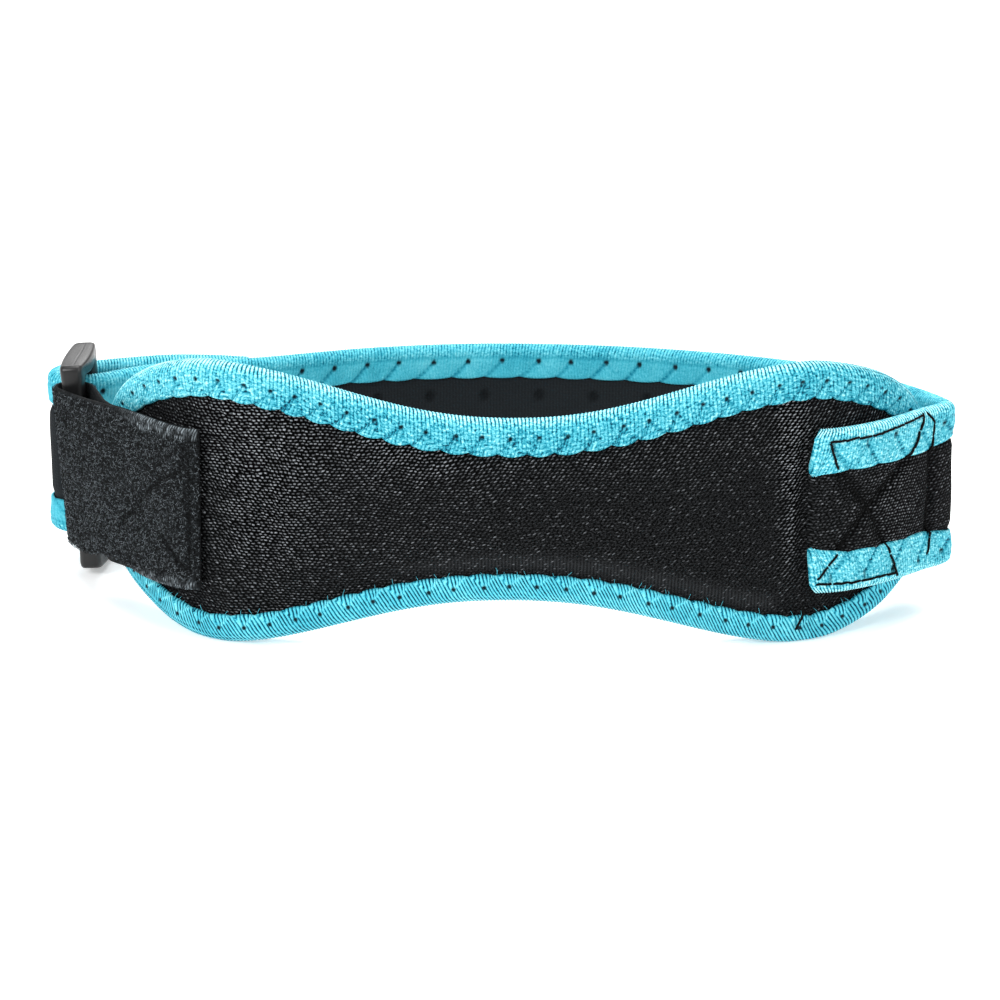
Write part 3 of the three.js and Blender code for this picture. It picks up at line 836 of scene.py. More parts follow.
@dataclass(frozen=True)
class ZigzagSeam:
    """A zigzag seam near a tape's inner edge: it pinches holes, grooves and scallops into the tape."""

    pitch: float
    hole_depth: float
    hole_reach: float = 0.48
    hole_sink: float = 0.6
    groove_sink: float = 0.36
    groove_reach: float = 0.36
    puff: float = 0.42
    panel_shear: float = 0.35
    puff_reach: float = 1.25
    scallop: float = 0.85
    wander: float = 0.35
    strokes: tuple[Pair, Pair] = ((0.5, 0.95), (0.2, 0.65))
    seed: int = SEED
    depth_wander: float = 0.6
    sizes: Pair = (0.75, 1.15)
    arch: Pair = (0.7, 0.62)
    foot: float = 0.25
    panel_rim: float = 0.5
    puff_level: float = 0.75
    hole_rim: Pair = (3.0, 0.5)

    def layout(self, length: float, closed: bool) -> dict[str, Array]:
        """Places of every stitch.

        Args:
            length: Length of the tape.
            closed: Whether the tape's ends meet.

        Returns:
            The holes' and valleys' places along the tape, the holes' own depths, the grooves' strengths and the
            scallops' sizes.
        """
        random = np.random.default_rng(self.seed)
        count = round(length / self.pitch)
        step = length / count
        shifts = random.uniform(-self.wander, self.wander, (3, count + 1))
        if closed:
            shifts[:, -1] = shifts[:, 0]
        return {
            "hole": (np.arange(count) + 0.5) * step + shifts[0, :-1],
            "depth": self.hole_depth + shifts[1, :-1] * self.depth_wander,
            "valley": np.arange(count + 1) * step + shifts[2],
            "left": random.uniform(*self.strokes[0], count),
            "right": random.uniform(*self.strokes[1], count),
            "size": random.uniform(*self.sizes, count),
        }

    def stitch(self, u: Array, plan: dict[str, Array]) -> Array:
        """Number of the stitch whose valleys stand on both sides of each place."""
        return np.clip(np.searchsorted(plan["valley"], u, side="right") - 1, 0, len(plan["hole"]) - 1)

    def edge(self, u: Array, plan: dict[str, Array]) -> Array:
        """How far the inner edge swings out: an arch over each stitch, less its middle."""
        k = self.stitch(u, plan)
        left, right = plan["valley"][k], plan["valley"][k + 1]
        share = np.clip((u - left) / (right - left), 0.0, 1.0)
        power, middle = self.arch
        return self.scallop * plan["size"][k] * (np.sin(np.pi * share) ** power - middle)

    def panels(self, u: Array, depth: Array, width: Array, plan: dict[str, Array]) -> Array:
        """How far the ribs are pulled aside in the wedge between each hole's two grooves, growing from the hole."""
        k = self.stitch(u, plan)
        hole, start = plan["hole"][k], plan["depth"][k]
        share = np.clip((depth - start) / (width + self.foot - start), 0.0, 1.0)
        left = hole + (plan["valley"][k] - hole) * share
        right = hole + (plan["valley"][k + 1] - hole) * share
        inside = smooth((u - left) / self.panel_rim) * smooth((right - u) / self.panel_rim)
        return self.panel_shear * np.maximum(depth - start, 0.0) * inside

    def relief(self, u: Array, depth: Array, width: Array, plan: dict[str, Array]) -> tuple[Array, Array, Array]:
        """Height that the seam gives the tape, with painted shade in its grooves and the darkness of its needle holes.

        The tape rises away from the nearest groove by a bell curve's complement, and sinks by bell curves along the
        two grooves from each hole to the valleys beside it and in the hole itself.

        Args:
            u: Places along the tape.
            depth: Distances from the folded edge.
            width: Distance of the inner edge from the folded edge.
            plan: Places of every stitch.

        Returns:
            The height in millimetres, the painted shade of 0 to 1 in the grooves, and the darkness of 0 to 1 of the
            needle holes.
        """
        k = self.stitch(u, plan)
        hole = (plan["hole"][k], plan["depth"][k])
        foot = width + self.foot
        left = segment_distance(u, depth, hole, (plan["valley"][k], foot))
        right = segment_distance(u, depth, hole, (plan["valley"][k + 1], foot))
        pinch = np.hypot(u - hole[0], depth - hole[1])
        grooves = plan["left"][k] * bell(left, self.groove_reach)
        grooves = np.maximum(grooves, plan["right"][k] * bell(right, self.groove_reach))
        hollow = bell(pinch, self.hole_reach)
        rise = 1.0 - bell(np.minimum(left, right), self.puff_reach)
        height = self.puff * (rise - self.puff_level) - self.groove_sink * grooves - self.hole_sink * hollow
        return height, grooves, np.clip(self.hole_rim[0] * hollow - self.hole_rim[1], 0.0, 1.0)


@dataclass(frozen=True)
class TapeWeave:
    """How a tape's ribs run at each of its stations."""

    pitch: Array
    slant: Array
    crimp: Array
    pinch: Array
    ribbing: Array
    pleats: Array
    bright: Array

    def columns(self) -> tuple[Array, ...]:
        """Slant, crimp, pinch, ribbing, pleats and painted highlight, each as one column over the stations."""
        values = (self.slant, self.crimp, self.pinch, self.ribbing, self.pleats, self.bright)
        return tuple(value[:, None] for value in values)

    def turns(self, u: Array, length: float, closed: bool) -> Array:
        """Ribs up to each station and up to the end: steps over the pitch, summed, and whole where the ends meet."""
        steps = np.diff(np.append(u, length)) / self.pitch
        total = np.concatenate([[0.0], np.cumsum(steps)])
        return total * (np.round(total[-1]) / total[-1]) if closed else total


@dataclass(frozen=True)
class FoldedTape:
    """A ribbed elastic tape that is folded over an edge and held by a zigzag seam."""

    thickness: float
    half_depth: float
    seam: ZigzagSeam
    rib_pitch: float = 0.85
    rib_height: float = 0.08
    stations_per_rib: int = 4
    lip: float = 0.9
    front_steps: tuple[float, ...] = (0.0, 0.05, 0.13, 0.24, 0.36, 0.48, 0.58, 0.67, 0.75, 0.82, 0.89, 0.95)
    back_steps: tuple[float, ...] = (0.0, 0.08, 0.25, 0.45, 0.65, 0.85)
    fold_rows: int = 9
    crease: float = 0.0
    inner_calm: float = 1.0
    fold_run: float = 1.2
    edge_run: float = 0.6
    wobble: Pair = (0.14, 9.0)
    rib_fade: Pair = (0.15, 0.35)
    fade_run: Pair = (1.2, 2.6)
    pleat_rise: float = 0.34
    pleat_calm: Pair = (0.8, 0.45)
    pleat_run: Pair = (2.2, 2.0)
    pleat_light: float = 1.2
    crease_sink: float = 0.16
    crease_shade: float = 0.4
    crease_reach: float = 0.3
    lip_drop: float = 0.92
    end_run: float = 1.2
    inner_gap: float = 0.2
    # place and reach of the painted glints along the fold's rim
    painted_light: Pair = (1.0, 1.5)

    def stations(self, length: float) -> int:
        """Number of stations for a whole number of ribs."""
        return round(length / self.rib_pitch) * self.stations_per_rib

    def _legs(self, width: Array, steps: tuple[float, ...]) -> Array:
        """Depths of one leg's columns, from the inner edge to the fold."""
        return width + (self.half_depth - width) * np.array(steps)

    def _across(self, width: Array) -> tuple[Array, Array, Array]:
        """The outer skin's columns: depth, angle round the fold, and side (1 front leg, 0 fold, -1 back leg)."""
        front = self._legs(width, self.front_steps)
        back = self._legs(width, self.back_steps)[:, ::-1]
        angle = np.linspace(0.0, np.pi, self.fold_rows)
        fold = np.full((len(width), self.fold_rows), self.half_depth)
        depth = np.concatenate([front, fold, back], 1)
        turn = np.concatenate([np.zeros(front.shape[1]), angle, np.full(back.shape[1], np.pi)])
        side = np.concatenate([np.ones(front.shape[1]), np.zeros(self.fold_rows), -np.ones(back.shape[1])])
        return depth, turn, side

    def _inside(self, width: Array, shut: Array | float) -> tuple[Array, Array]:
        """The inner skin's depths and distances out, from the back leg's inner edge round to the front leg's."""
        ones = np.ones_like(width)
        inner, half = width - self.inner_gap, self.half_depth * ones
        depth = np.concatenate([inner, half, self.thickness * ones, half, inner], 1)
        return depth, (self.half_depth - self.thickness) * shut * np.array([-1.0, -1.0, 0.0, 1.0, 1.0]) * ones

    @staticmethod
    def _cloth(count: Array, across: Array, extra: int, joined: float | None) -> Array:
        """Cloth coordinates: ribs counted along and the distance across, held on over the inner skin's columns."""
        more = ((0, 0), (0, extra))
        cloth = np.stack([np.pad(part, more, mode="edge") for part in (count, across)], -1)
        if joined is None:
            return cloth
        return np.concatenate([cloth, cloth[:1] + np.array([joined, 0.0])])

    def draft(
        self,
        u: Array,
        length: float,
        closed: bool,
        width: Array,
        weave: TapeWeave,
        place: Callable[[Array, Array], Array],
        flip: bool = False,
    ) -> MeshDraft:
        """Carries the tape's section along an edge.

        The outer skin runs over the front leg, round the fold and over the back leg, at the half depth plus the relief
        of ribs and seam, and drops to the underside at its inner edges. Ribs are cosines of the distance along over
        the pitch, slanted by the distance across. Where the tape is pleated, the seam's grooves stand up instead.

        Args:
            u: Distance of each station along the tape.
            length: Length of the tape.
            closed: Whether the tape's ends meet.
            width: Width of one leg, by station.
            weave: How the ribs and the seam are at each station.
            place: Points at depths inside the edge and distances out of the middle surface.
            flip: Whether the section runs the other way round.

        Returns:
            The tape's shape with the values that its finish reads.
        """
        plan = self.seam.layout(length, closed)
        slant, crimp, pinch, ribbing, pleats, bright = weave.columns()
        column = u[:, None]
        width = width[:, None] + self.seam.edge(u, plan)[:, None] * pinch
        depth, turn, side = self._across(width)
        on_leg = np.abs(side)
        inner_run = width - depth
        lift, seam, hole = self.seam.relief(column, depth, width, plan)
        pinched = on_leg * smooth((depth - self.half_depth) / self.fold_run) * pinch
        lift, seam, hole = lift * pinched * rounding(inner_run, self.edge_run), seam * pinched, hole * on_leg
        across = side * (depth - self.half_depth) + self.half_depth * (np.pi / 2.0 - turn)
        turns = weave.turns(u, length, closed)
        wobble = self.wobble[0] * ripple(column, across, self.wobble[1], self.seam.seed + 1)
        pulled = self.seam.panels(column, depth, width, plan) * on_leg
        count = turns[:-1, None] + slant * across / self.rib_pitch + wobble + pulled
        inward = step_up(np.abs(across), self.fade_run)
        strength = 1.0 - (self.rib_fade[0] + self.rib_fade[1] * np.minimum(crimp, 1.0)) * inward
        pleated = pleats * np.maximum(side, 0.0)
        pleat = np.clip(seam / np.maximum(pinch, 0.2), 0.0, 1.0) * pleated
        flattened = self.pleat_calm[1] * pleated * step_down(across, self.pleat_run)
        strength = strength * (1.0 - self.pleat_calm[0] * pleat) * (1.0 - flattened)
        lift = lift + self.rib_height * strength * -np.cos(2.0 * np.pi * count) + self.pleat_rise * pleat
        if self.crease:
            fold_line = bell(np.abs(across) - self.half_depth * np.pi / 2.0 - self.crease, self.crease_reach)
            lift, seam = lift - self.crease_sink * fold_line, np.maximum(seam, self.crease_shade * fold_line)
        lips = self.thickness * self.lip_drop * (1.0 - rounding(inner_run, self.lip)) * on_leg
        reach = self.half_depth + lift - lips
        ends = np.minimum(column, length - column)
        inside_depth, inside_out = self._inside(width, 1.0 if closed else rounding(ends, self.end_run))
        depths = np.concatenate([depth - reach * np.sin(turn), inside_depth], 1)
        outs = np.concatenate([reach * np.cos(turn), inside_out], 1)
        calm = np.where(side < 0.0, self.inner_calm, 1.0)
        values = {
            # painted shade in the seam's grooves, less a painted highlight along the pleats' raised folds
            "seam": seam * (0.45 + 0.55 * calm) - self.pleat_light * pleat,
            "hole": hole,
            # painted glints along the fold's rim
            "rim": bell(across - self.painted_light[0], self.painted_light[1]) * crimp,
            "crimp": calm * crimp,
            "ribbing": calm * strength * ribbing,
            # painted shade of the lower, pleated tape
            "deep": np.broadcast_to(pleats, depth.shape),
            "bright": calm * bright,
        }
        extra = inside_depth.shape[1]
        values = {name: np.pad(value, ((0, 0), (0, extra))) for name, value in values.items()}
        cloth = self._cloth(count, across, extra + 1, turns[-1] if closed else None)
        return MeshDraft().grid(place(depths, outs), cloth, values, (closed, True), not closed, flip)


@dataclass(frozen=True)
class PadBinding:
    """Tape all round the pad's rim."""

    edge_shape: PadShape
    tape: FoldedTape = FoldedTape(1.0, 3.0, ZigzagSeam(5.9, 3.85))
    width: Pair = (7.35, 0.75)
    pitch: Pair = (0.83, 0.03)
    crimp: Pair = (0.54, 0.41)
    pinch: Pair = (0.74, 0.24)
    ribbing: Pair = (0.95, -0.35)
    rib_lean_deg: Pair = (3.0, 31.0)
    lean_between: Pair = (-0.2, 0.5)
    most_slant: Pair = (-0.85, 0.35)
    least_across: float = 0.3
    slant_spread: int = 150
    left_lobe: Pair = (-56.0, 16.0)
    right_lobe: Pair = (22.0, 26.0)
    right_share: float = 0.7
    lobe_calm: float = 0.5
    lobe_highlight: float = 0.07
    highlight_run: Pair = (-45.0, 15.0)
    upper_run: float = 0.4
    pleat_run: Pair = (0.3, 0.5)

    def build(self, bench: Bench, material: Material) -> Piece:
        """The tape is wider on the upper edge than on the lower one, where its ribs lean more and it is pleated."""
        edge = self.edge_shape.edge(self.tape.stations(self.edge_shape.edge(400).length))
        down = edge.inward[:, 1]
        width, pitch, crimp, pinch, ribbing = (
            middle - swing * down for middle, swing in (self.width, self.pitch, self.crimp, self.pinch, self.ribbing)
        )
        upper = smooth(-down / self.upper_run)
        left = step_down(edge.s, self.left_lobe)
        right = self.right_share * step_up(edge.s, self.right_lobe) * upper
        pinch = pinch * (1.0 - self.lobe_calm * np.maximum(left, right))
        pleats = step_up(down, self.pleat_run)
        # Painted highlight on the upper tape at the left lobe.
        bright = self.lobe_highlight * step_down(edge.s, self.highlight_run) * upper
        weave = TapeWeave(pitch, self._slant(edge.inward), crimp, pinch, ribbing, pleats, bright)
        draft = self.tape.draft(edge.travel, edge.length, True, width, weave, edge.place)
        return bench.piece("pad_binding_tape", draft, material, Slot.TAPE, ("pad_binding",))

    def _slant(self, inward: Array) -> Array:
        """Run of the ribs along the edge for each unit across it: they lean by a set angle from the upright."""
        lean = np.radians(np.interp(inward[:, 1], self.lean_between, self.rib_lean_deg))
        run_s, run_z = np.sin(lean), -np.cos(lean)
        along = run_s * -inward[:, 1] + run_z * inward[:, 0]
        across = run_s * inward[:, 0] + run_z * inward[:, 1]
        firm = np.where(across < 0.0, -1.0, 1.0) * np.maximum(np.abs(across), self.least_across)
        slant = np.clip(-along / firm, *self.most_slant)
        reach = self.slant_spread
        spread = np.hanning(2 * reach + 1)
        return np.convolve(np.concatenate([slant[-reach:], slant, slant[:reach]]), spread / spread.sum(), "valid")


@dataclass(frozen=True)
class StrapShape:
    """The strap's course from the pad's right front, round the back and through the ring to its free tail."""

    pad: PadShape
    half_height: float = 19.0
    pad_span: Pair = (65.5, 96.0)
    pad_rows: int = 6
    pad_offset: float = 5.4
    centre_z: float = 30.9
    lean_deg: float = 4.9
    half_depth: float = 2.1
    flattening: float = 0.45
    flat_reach: float = 4.5
    hem: float = 1.1
    places: tuple[tuple[float, float, float, float], ...] = (
        (96.4, 24.3, 30.9, 0.0),
        (97.9, 26.6, 30.9, 0.0),
        (96.9, 29.2, 30.9, 0.0),
        (92.4, 36.9, 30.7, 0.0),
        (80.0, 52.2, 30.2, 0.0),
        (61.8, 66.0, 29.4, 0.0),
        (30.2, 79.3, 28.4, 0.0),
        (-2.6, 83.6, 28.0, 0.0),
        (-30.0, 78.9, 28.3, 0.0),
        (-60.0, 65.3, 29.3, 0.0),
        (-77.0, 59.2, 30.0, 0.2),
        (-86.5, 52.4, 30.3, 0.7),
        (-92.2, 47.7, 30.4, 1.0),
        (-95.7, 46.4, 30.4, 1.0),
        (-99.9, 47.0, 30.4, 0.8),
        (-103.0, 49.0, 30.4, 0.3),
        (-104.0, 52.0, 30.4, 0.0),
        (-102.5, 55.0, 30.4, 0.0),
        (-98.6, 57.1, 30.4, 0.0),
        (-89.0, 61.0, 30.4, 0.0),
        (-78.6, 65.0, 30.1, 0.0),
        (-69.0, 67.8, 29.3, 0.0),
        (-61.0, 70.8, 28.1, 0.0),
    )

    @cached_property
    def course(self) -> Course:
        """The strap's middle line."""
        s = np.linspace(*self.pad_span, self.pad_rows)
        on_pad = self.pad.point(s, self.centre_z - self.pad.centre_z, self.pad_offset)
        on_pad = np.concatenate([on_pad, np.zeros((self.pad_rows, 1))], 1)
        return Course(np.concatenate([on_pad, np.array(self.places)]), self.lean_deg)

    def place(self, u: Array, height: Array, out: Array) -> Array:
        """Points on the strap, whose sewn end is pressed flat on the pad."""
        flat = (1.0 - self.flattening * bell(u, self.flat_reach)) * (0.1 + 0.9 * rounding(u, self.hem))
        return self.course.place(u, height, (out + self.half_depth) * flat - self.half_depth)


@dataclass(frozen=True)
class StrapBinding:
    """Tapes on the strap's upper and lower edge."""

    strap: StrapShape
    tape: FoldedTape = FoldedTape(
        0.8,
        2.1,
        ZigzagSeam(
            8.3, 3.7, 0.58, 0.22, puff=0.26, scallop=0.5, strokes=((0.05, 0.3), (0.6, 1.0)), seed=SEED + 9
        ),
        rib_pitch=0.74,
        front_steps=(0.0, 0.05, 0.12, 0.22, 0.34, 0.46, 0.58, 0.7, 0.85),
        back_steps=(0.0, 0.06, 0.16, 0.3, 0.45, 0.57, 0.66, 0.72, 0.78, 0.88),
        fold_rows=8,
        crease=0.7,
        inner_calm=0.3,
    )
    width: float = 7.9
    sewn_width: float = 9.6
    end_flare: float = 1.9
    ribbing: float = 0.4
    slant: float = 0.12
    crimp: float = 0.95
    end_round: float = 1.2
    corner_cut: float = 0.6
    corner_round: float = 1.5
    corner_reach: float = 7.0
    sewn_highlight: float = 0.09
    lower_cut: float = 0.2
    corner_run: float = 2.4
    behind: Pair = (0.6, 1.2)
    sewn_run: Pair = (42.0, 12.0)
    crimp_run: Pair = (50.0, 14.0)
    flare_reach: float = 2.5
    start_round: float = 1.1
    end_ribbing: Pair = (0.4, 7.0)

    def build(self, bench: Bench, material: Material, upper: bool) -> Piece:
        """Makes the upper or the lower tape; the upper one's sewn end is cut at a steeper slant."""
        course = self.strap.course
        count = self.tape.stations(course.length)
        u = np.linspace(0.0, course.length, count)
        ends = rounding(course.length - u, self.end_round)[:, None]
        sign = 1.0 if upper else -1.0
        cut = self.corner_cut if upper else self.lower_cut
        fading = np.exp(-u / self.corner_reach)[:, None]

        def place(depth: Array, out: Array) -> Array:
            """Points on the strap's edge, with the ends rounded over and the sewn corner cut."""
            rounded = self.corner_round * np.clip(1.0 - depth / self.corner_run, 0.0, 1.0) ** 2
            slanted = cut * np.clip(1.0 - depth / self.width, 0.0, 1.0) + rounded
            behind = step_down(out, self.behind)
            slanted = (slanted + (cut + self.corner_round - slanted) * behind) * fading
            height = sign * (self.strap.half_height - depth)
            return self.strap.place(u[:, None] + slanted, height, out * (0.5 + 0.5 * ends))

        sewn = step_down(u, self.sewn_run)
        flare = self.end_flare * np.exp(-u / self.flare_reach)
        drawn_in = self.start_round * (1.0 - rounding(u, self.start_round))
        width = self.width + (self.sewn_width - self.width) * sewn + flare - drawn_in
        crimp = self.crimp * (0.5 + 0.5 * step_down(u, self.crimp_run))
        ribbing = self.ribbing + self.end_ribbing[0] * bell(u, self.end_ribbing[1])
        pitch, slant = np.full(count, self.tape.rib_pitch), np.full(count, self.slant)
        # Painted highlight on the sewn part of the strap's tapes.
        weave = TapeWeave(pitch, slant, crimp, np.ones(count), ribbing, np.zeros(count), self.sewn_highlight * sewn)
        draft = self.tape.draft(u, course.length, False, width, weave, place, flip=not upper)
        edge = "upper" if upper else "lower"
        return bench.piece(f"strap_tape_{edge}", draft, material, Slot.TAPE, (f"strap_binding_{edge}",))


@dataclass(frozen=True)
class StrapBand:
    """The knit band between the strap's tapes, with a smooth dimpled lining."""

    strap: StrapShape
    half_depth: float = 1.7
    rim_half: float = 1.0
    open_half: float = 11.3
    hidden_half: float = 16.6
    step: float = 0.6
    rows: int = 44
    dimple_pitch: float = 13.0
    dimple_shift: float = 3.5
    dimple_rows: tuple[float, ...] = (7.0, 0.0, -7.0)
    dimple_radius: float = 1.25
    dimple_sink: float = 0.7
    creases: tuple[Line, ...] = (
        ((3.6, 16.2), (5.4, 9.8), (13.5, 0.2), (18.3, -9.1), (22.2, -17.7)),
        ((1.4, -15.5), (5.9, -9.3), (13.5, 0.2), (26.9, 11.3), (30.1, 19.0)),
        ((33.8, 15.7), (33.2, 0.0), (32.2, -15.0)),
    )
    crease_sink: float = 0.95
    crease_reach: float = 1.3
    crown_run: float = 2.6
    row_bow: float = 0.72
    waves: Pair = (0.12, 17.0)
    lining_run: Pair = (1.5, 1.0)
    shade: Pair = (0.7, 0.4)
    # openness of the band's knit, which also sets its painted glints
    stretch: float = 0.46
    open_cross: Triple = (22.0, 9.0, 0.28)
    lean: float = -0.15

    def _dimples(self, u: Array, height: Array) -> Array:
        """Share of the dimples' full depth: round hollows in staggered rows along the lining."""
        hollows = np.zeros_like(u + height)
        for number, row in enumerate(self.dimple_rows):
            along = ((u - self.dimple_shift) / self.dimple_pitch + 0.5 * (number % 2)) % 1.0 - 0.5
            away = np.hypot(along * self.dimple_pitch, height - row)
            hollows = np.maximum(hollows, dimple(away, self.dimple_radius))
        return hollows

    def build(self, bench: Bench, material: Material) -> Piece:
        """Carries the band's section along the strap: thin under the tapes, softly crowned between them."""
        course = self.strap.course
        u = np.linspace(0.0, course.length, round(course.length / self.step))[:, None]
        bow = np.sin(np.linspace(-0.5, 0.5, self.rows) * np.pi * self.row_bow)
        height = (bow / np.sin(self.row_bow / 2.0 * np.pi) * self.hidden_half)[None]
        crown = smooth((self.open_half - np.abs(height)) / self.crown_run)
        crown = crown * (0.86 + 0.14 * np.cos(height / self.open_half))
        half = self.rim_half + (self.half_depth - self.rim_half) * crown
        soft = self.waves[0] * ripple(u, height * 1.4, self.waves[1], SEED + 3) * crown
        creases = self.crease_sink * nearness(u, height, self.creases, self.crease_reach)
        margin, run = self.lining_run
        hollows = self._dimples(u, height) * smooth((self.open_half - margin - np.abs(height)) / run)
        outer, inner = half + soft - creases * crown, half + soft - self.dimple_sink * hollows
        ends = 0.4 + 0.6 * rounding(course.length - u, 1.0)
        across = there_and_back(height, height)
        points = self.strap.place(u, across, there_and_back(outer, -inner) * ends)
        cloth = np.stack(np.broadcast_arrays(u, np.append(across, across[0, 0])[None]), -1)
        values = {
            "lining": np.repeat([0.0, 1.0], self.rows),
            "seam": there_and_back(self.shade[0] * creases, self.shade[1] * hollows),
            "stretch": self.stretch + bump(u, self.open_cross),
            "lean": self.lean,
        }
        draft = MeshDraft().grid(points, cloth, values, (False, True), True)
        return bench.piece("strap_band", draft, material, Slot.KNIT, ("strap",))


@dataclass(frozen=True)
class FrontPad:
    """The crowned hourglass pad: knit over foam, swollen by a cloth simulation inside its bound rim."""

    shape: PadShape
    rim_half: float = 1.7
    tape_half: float = 3.0
    tape_inner: float = 7.8
    crowns: Pair = (5.2, 4.6)
    crown_rise: float = 9.0
    crown_end: float = 64.0
    inset: float = 2.6
    fine: tuple[int, int] = (360, 100)
    coarse: tuple[int, int] = (74, 26)
    slack: float = 0.82
    most_swell: float = 1.3
    pressure: float = 4.0
    frames: int = 20
    quality: int = 8
    mass: float = 0.15
    pucker: float = 0.16
    stitch_pitch: float = 5.9
    dents: tuple[Triple, ...] = ((64.5, 1.2, 0.9), (-65.4, 2.2, 0.35))
    dent_half: float = 17.5
    dimple_pitch: Pair = (12.0, 14.4)
    dimple_sink: float = 0.9
    dimple_radius: float = 1.15
    dimple_shade: float = 0.4
    # Openness of the knit, which also lays its painted glints: open and glinting at the left bend, a painted highlight
    # streak beside the strap's sewn end, a little less at the right lobe.
    stretch: float = 0.29
    open_and_glinting_bends: tuple[Triple, Triple] = ((-56.0, 15.0, 0.72), (-25.0, 25.0, 0.3))
    glint_streak: Triple = (61.8, 3.0, 0.75)
    tight_lobe: Triple = (48.0, 10.0, 0.08)
    dimple_run: Pair = (3.0, 1.5)
    waves: Pair = (0.16, 0.12)
    wave_length: float = 26.0
    free_run: Pair = (0.4, 1.5)
    free_ends: Pair = (60.0, 6.0)
    open_ends: Pair = (61.0, 5.0)
    pucker_at: Pair = (1.8, 2.2)
    leans: Line = ((-62.0, 0.16), (-45.0, 0.03), (-25.0, -0.2), (10.0, -0.24), (50.0, -0.34))

    def _parameters(self, count: tuple[int, int]) -> tuple[Array, Array]:
        """Places along the pad and shares of its height, closer together at the rim."""
        along, across = (np.linspace(-1.0, 1.0, n) for n in count)
        reach = self.shape.half_length - self.inset
        return reach * (1.25 * along - 0.25 * along**3)[:, None], (1.3 * across - 0.3 * across**3)[None]

    def _rise(self, s: Array, share: Array) -> Array:
        """Height on the pad: the share of the half height that is left inside the inset."""
        step = 0.5
        slope = (self.shape.half_height(s + step) - self.shape.half_height(s - step)) / (2.0 * step)
        return share * (self.shape.half_height(s) - self.inset * np.hypot(1.0, np.clip(slope, -1.5, 1.5)))

    def _from_edge(self, s: Array, z: Array) -> tuple[Array, Array]:
        """Distance from the outline and the place along it, of the nearest of many outline points."""
        edge = self.shape.edge(1500)
        outline = np.stack([edge.s, edge.z], -1)
        points = np.stack([s, z], -1).reshape(-1, 2)
        nearest, depth = [], []
        for block in np.array_split(points, max(1, len(points) // 2000)):
            away = np.linalg.norm(block[:, None] - outline[None], axis=2)
            nearest.append(away.argmin(1))
            depth.append(away.min(1))
        travel = edge.travel[np.concatenate(nearest)]
        return np.concatenate(depth).reshape(s.shape), travel.reshape(s.shape)

    def _face(self, s: Array, depth: Array, crown: float) -> Array:
        """Half thickness: a rounded rim inside the tape, then a crown that fades out to the tips."""
        short = np.maximum(self.tape_half - depth, 0.0)
        flat = np.sqrt(np.maximum(self.rim_half**2 - short**2, 0.01))
        top = self.tape_half + (crown - self.tape_half) * (1.0 - smooth(np.abs(s) / self.crown_end))
        rise = 1.0 - (1.0 - np.clip((depth - self.tape_inner) / self.crown_rise, 0.0, 1.0)) ** 2
        return flat + (top - flat) * rise

    def _grid(self, count: tuple[int, int]) -> tuple[Array, Array, Array, Array]:
        """Places on the pad, as s and z, with the distance from the outline and the place along it."""
        s, share = self._parameters(count)
        z = self._rise(s, share)
        s = np.broadcast_to(s, z.shape)
        return s, z, *self._from_edge(s, z)

    def _faces(self, s: Array, depth: Array, slack: float = 1.0) -> tuple[Array, Array]:
        """Half thickness of the front and of the back, with a share of their crowns."""
        crowns = (self.tape_half + (crown - self.tape_half) * slack for crown in self.crowns)
        front, back = (self._face(s, depth, crown) for crown in crowns)
        return front, back

    def _swell(self, bench: Bench) -> Array:
        """Simulates the pad's skin as cloth under pressure, held at its rim and under the sewn ends.

        Args:
            bench: Where the trial piece is made.

        Returns:
            How far the skin moved out at the coarse grid's points, front rows first, capped.
        """
        s, z, depth, _ = self._grid(self.coarse)
        front, back = self._faces(s, depth, self.slack)
        both = there_and_back(front, -back)
        along, rise = there_and_back(s, s), there_and_back(z, z)
        points = self.shape.point(along, rise, both)
        draft = MeshDraft().grid(points, np.zeros((points.shape[0], points.shape[1] + 1, 2)), None, (False, True), True)
        trial = linked("pad_trial", draft.mesh("pad_trial", bench.loop))
        free = step_up(depth - self.tape_inner, self.free_run)
        free = free * step_down(np.abs(s), self.free_ends)
        free = there_and_back(free, free).ravel()
        held = trial.vertex_groups.new(name="held")
        for level in np.unique(np.round(1.0 - free, 1)):
            members = np.flatnonzero(np.round(1.0 - free, 1) == level)
            held.add(members.tolist(), float(level), "REPLACE")
        moved = self._simulate(trial)
        start = bench.loop.on_floor(points).reshape(-1, 3)
        normal = self.shape.normal(along) * np.sign(both)[..., None]
        swell = ((moved - start) * (normal @ bench.loop.axes).reshape(-1, 3)).sum(1) / METRES
        return np.clip(swell * free, 0.0, self.most_swell).reshape(both.shape)

    def _simulate(self, trial: Piece) -> Array:
        """Runs a trial piece as cloth, removes it and gives its points after the last frame."""
        cloth = trial.modifiers.new("swell", "CLOTH")
        cloth.settings.quality, cloth.settings.mass = self.quality, self.mass
        cloth.settings.use_pressure = True
        cloth.settings.uniform_pressure_force = self.pressure
        cloth.settings.vertex_group_mass = "held"
        cloth.settings.effector_weights.gravity = 0.0
        cloth.collision_settings.use_collision = False
        cloth.point_cache.frame_end = self.frames
        scene = bpy.context.scene
        for number in range(1, self.frames + 1):
            scene.frame_set(number)
        final = trial.evaluated_get(bpy.context.evaluated_depsgraph_get()).data
        points = np.empty(len(final.vertices) * 3, np.float32)
        final.vertices.foreach_get("co", points)
        mesh = trial.data
        bpy.data.objects.remove(trial)
        bpy.data.meshes.remove(mesh)
        scene.frame_set(1)
        return points.reshape(-1, 3).astype(float)

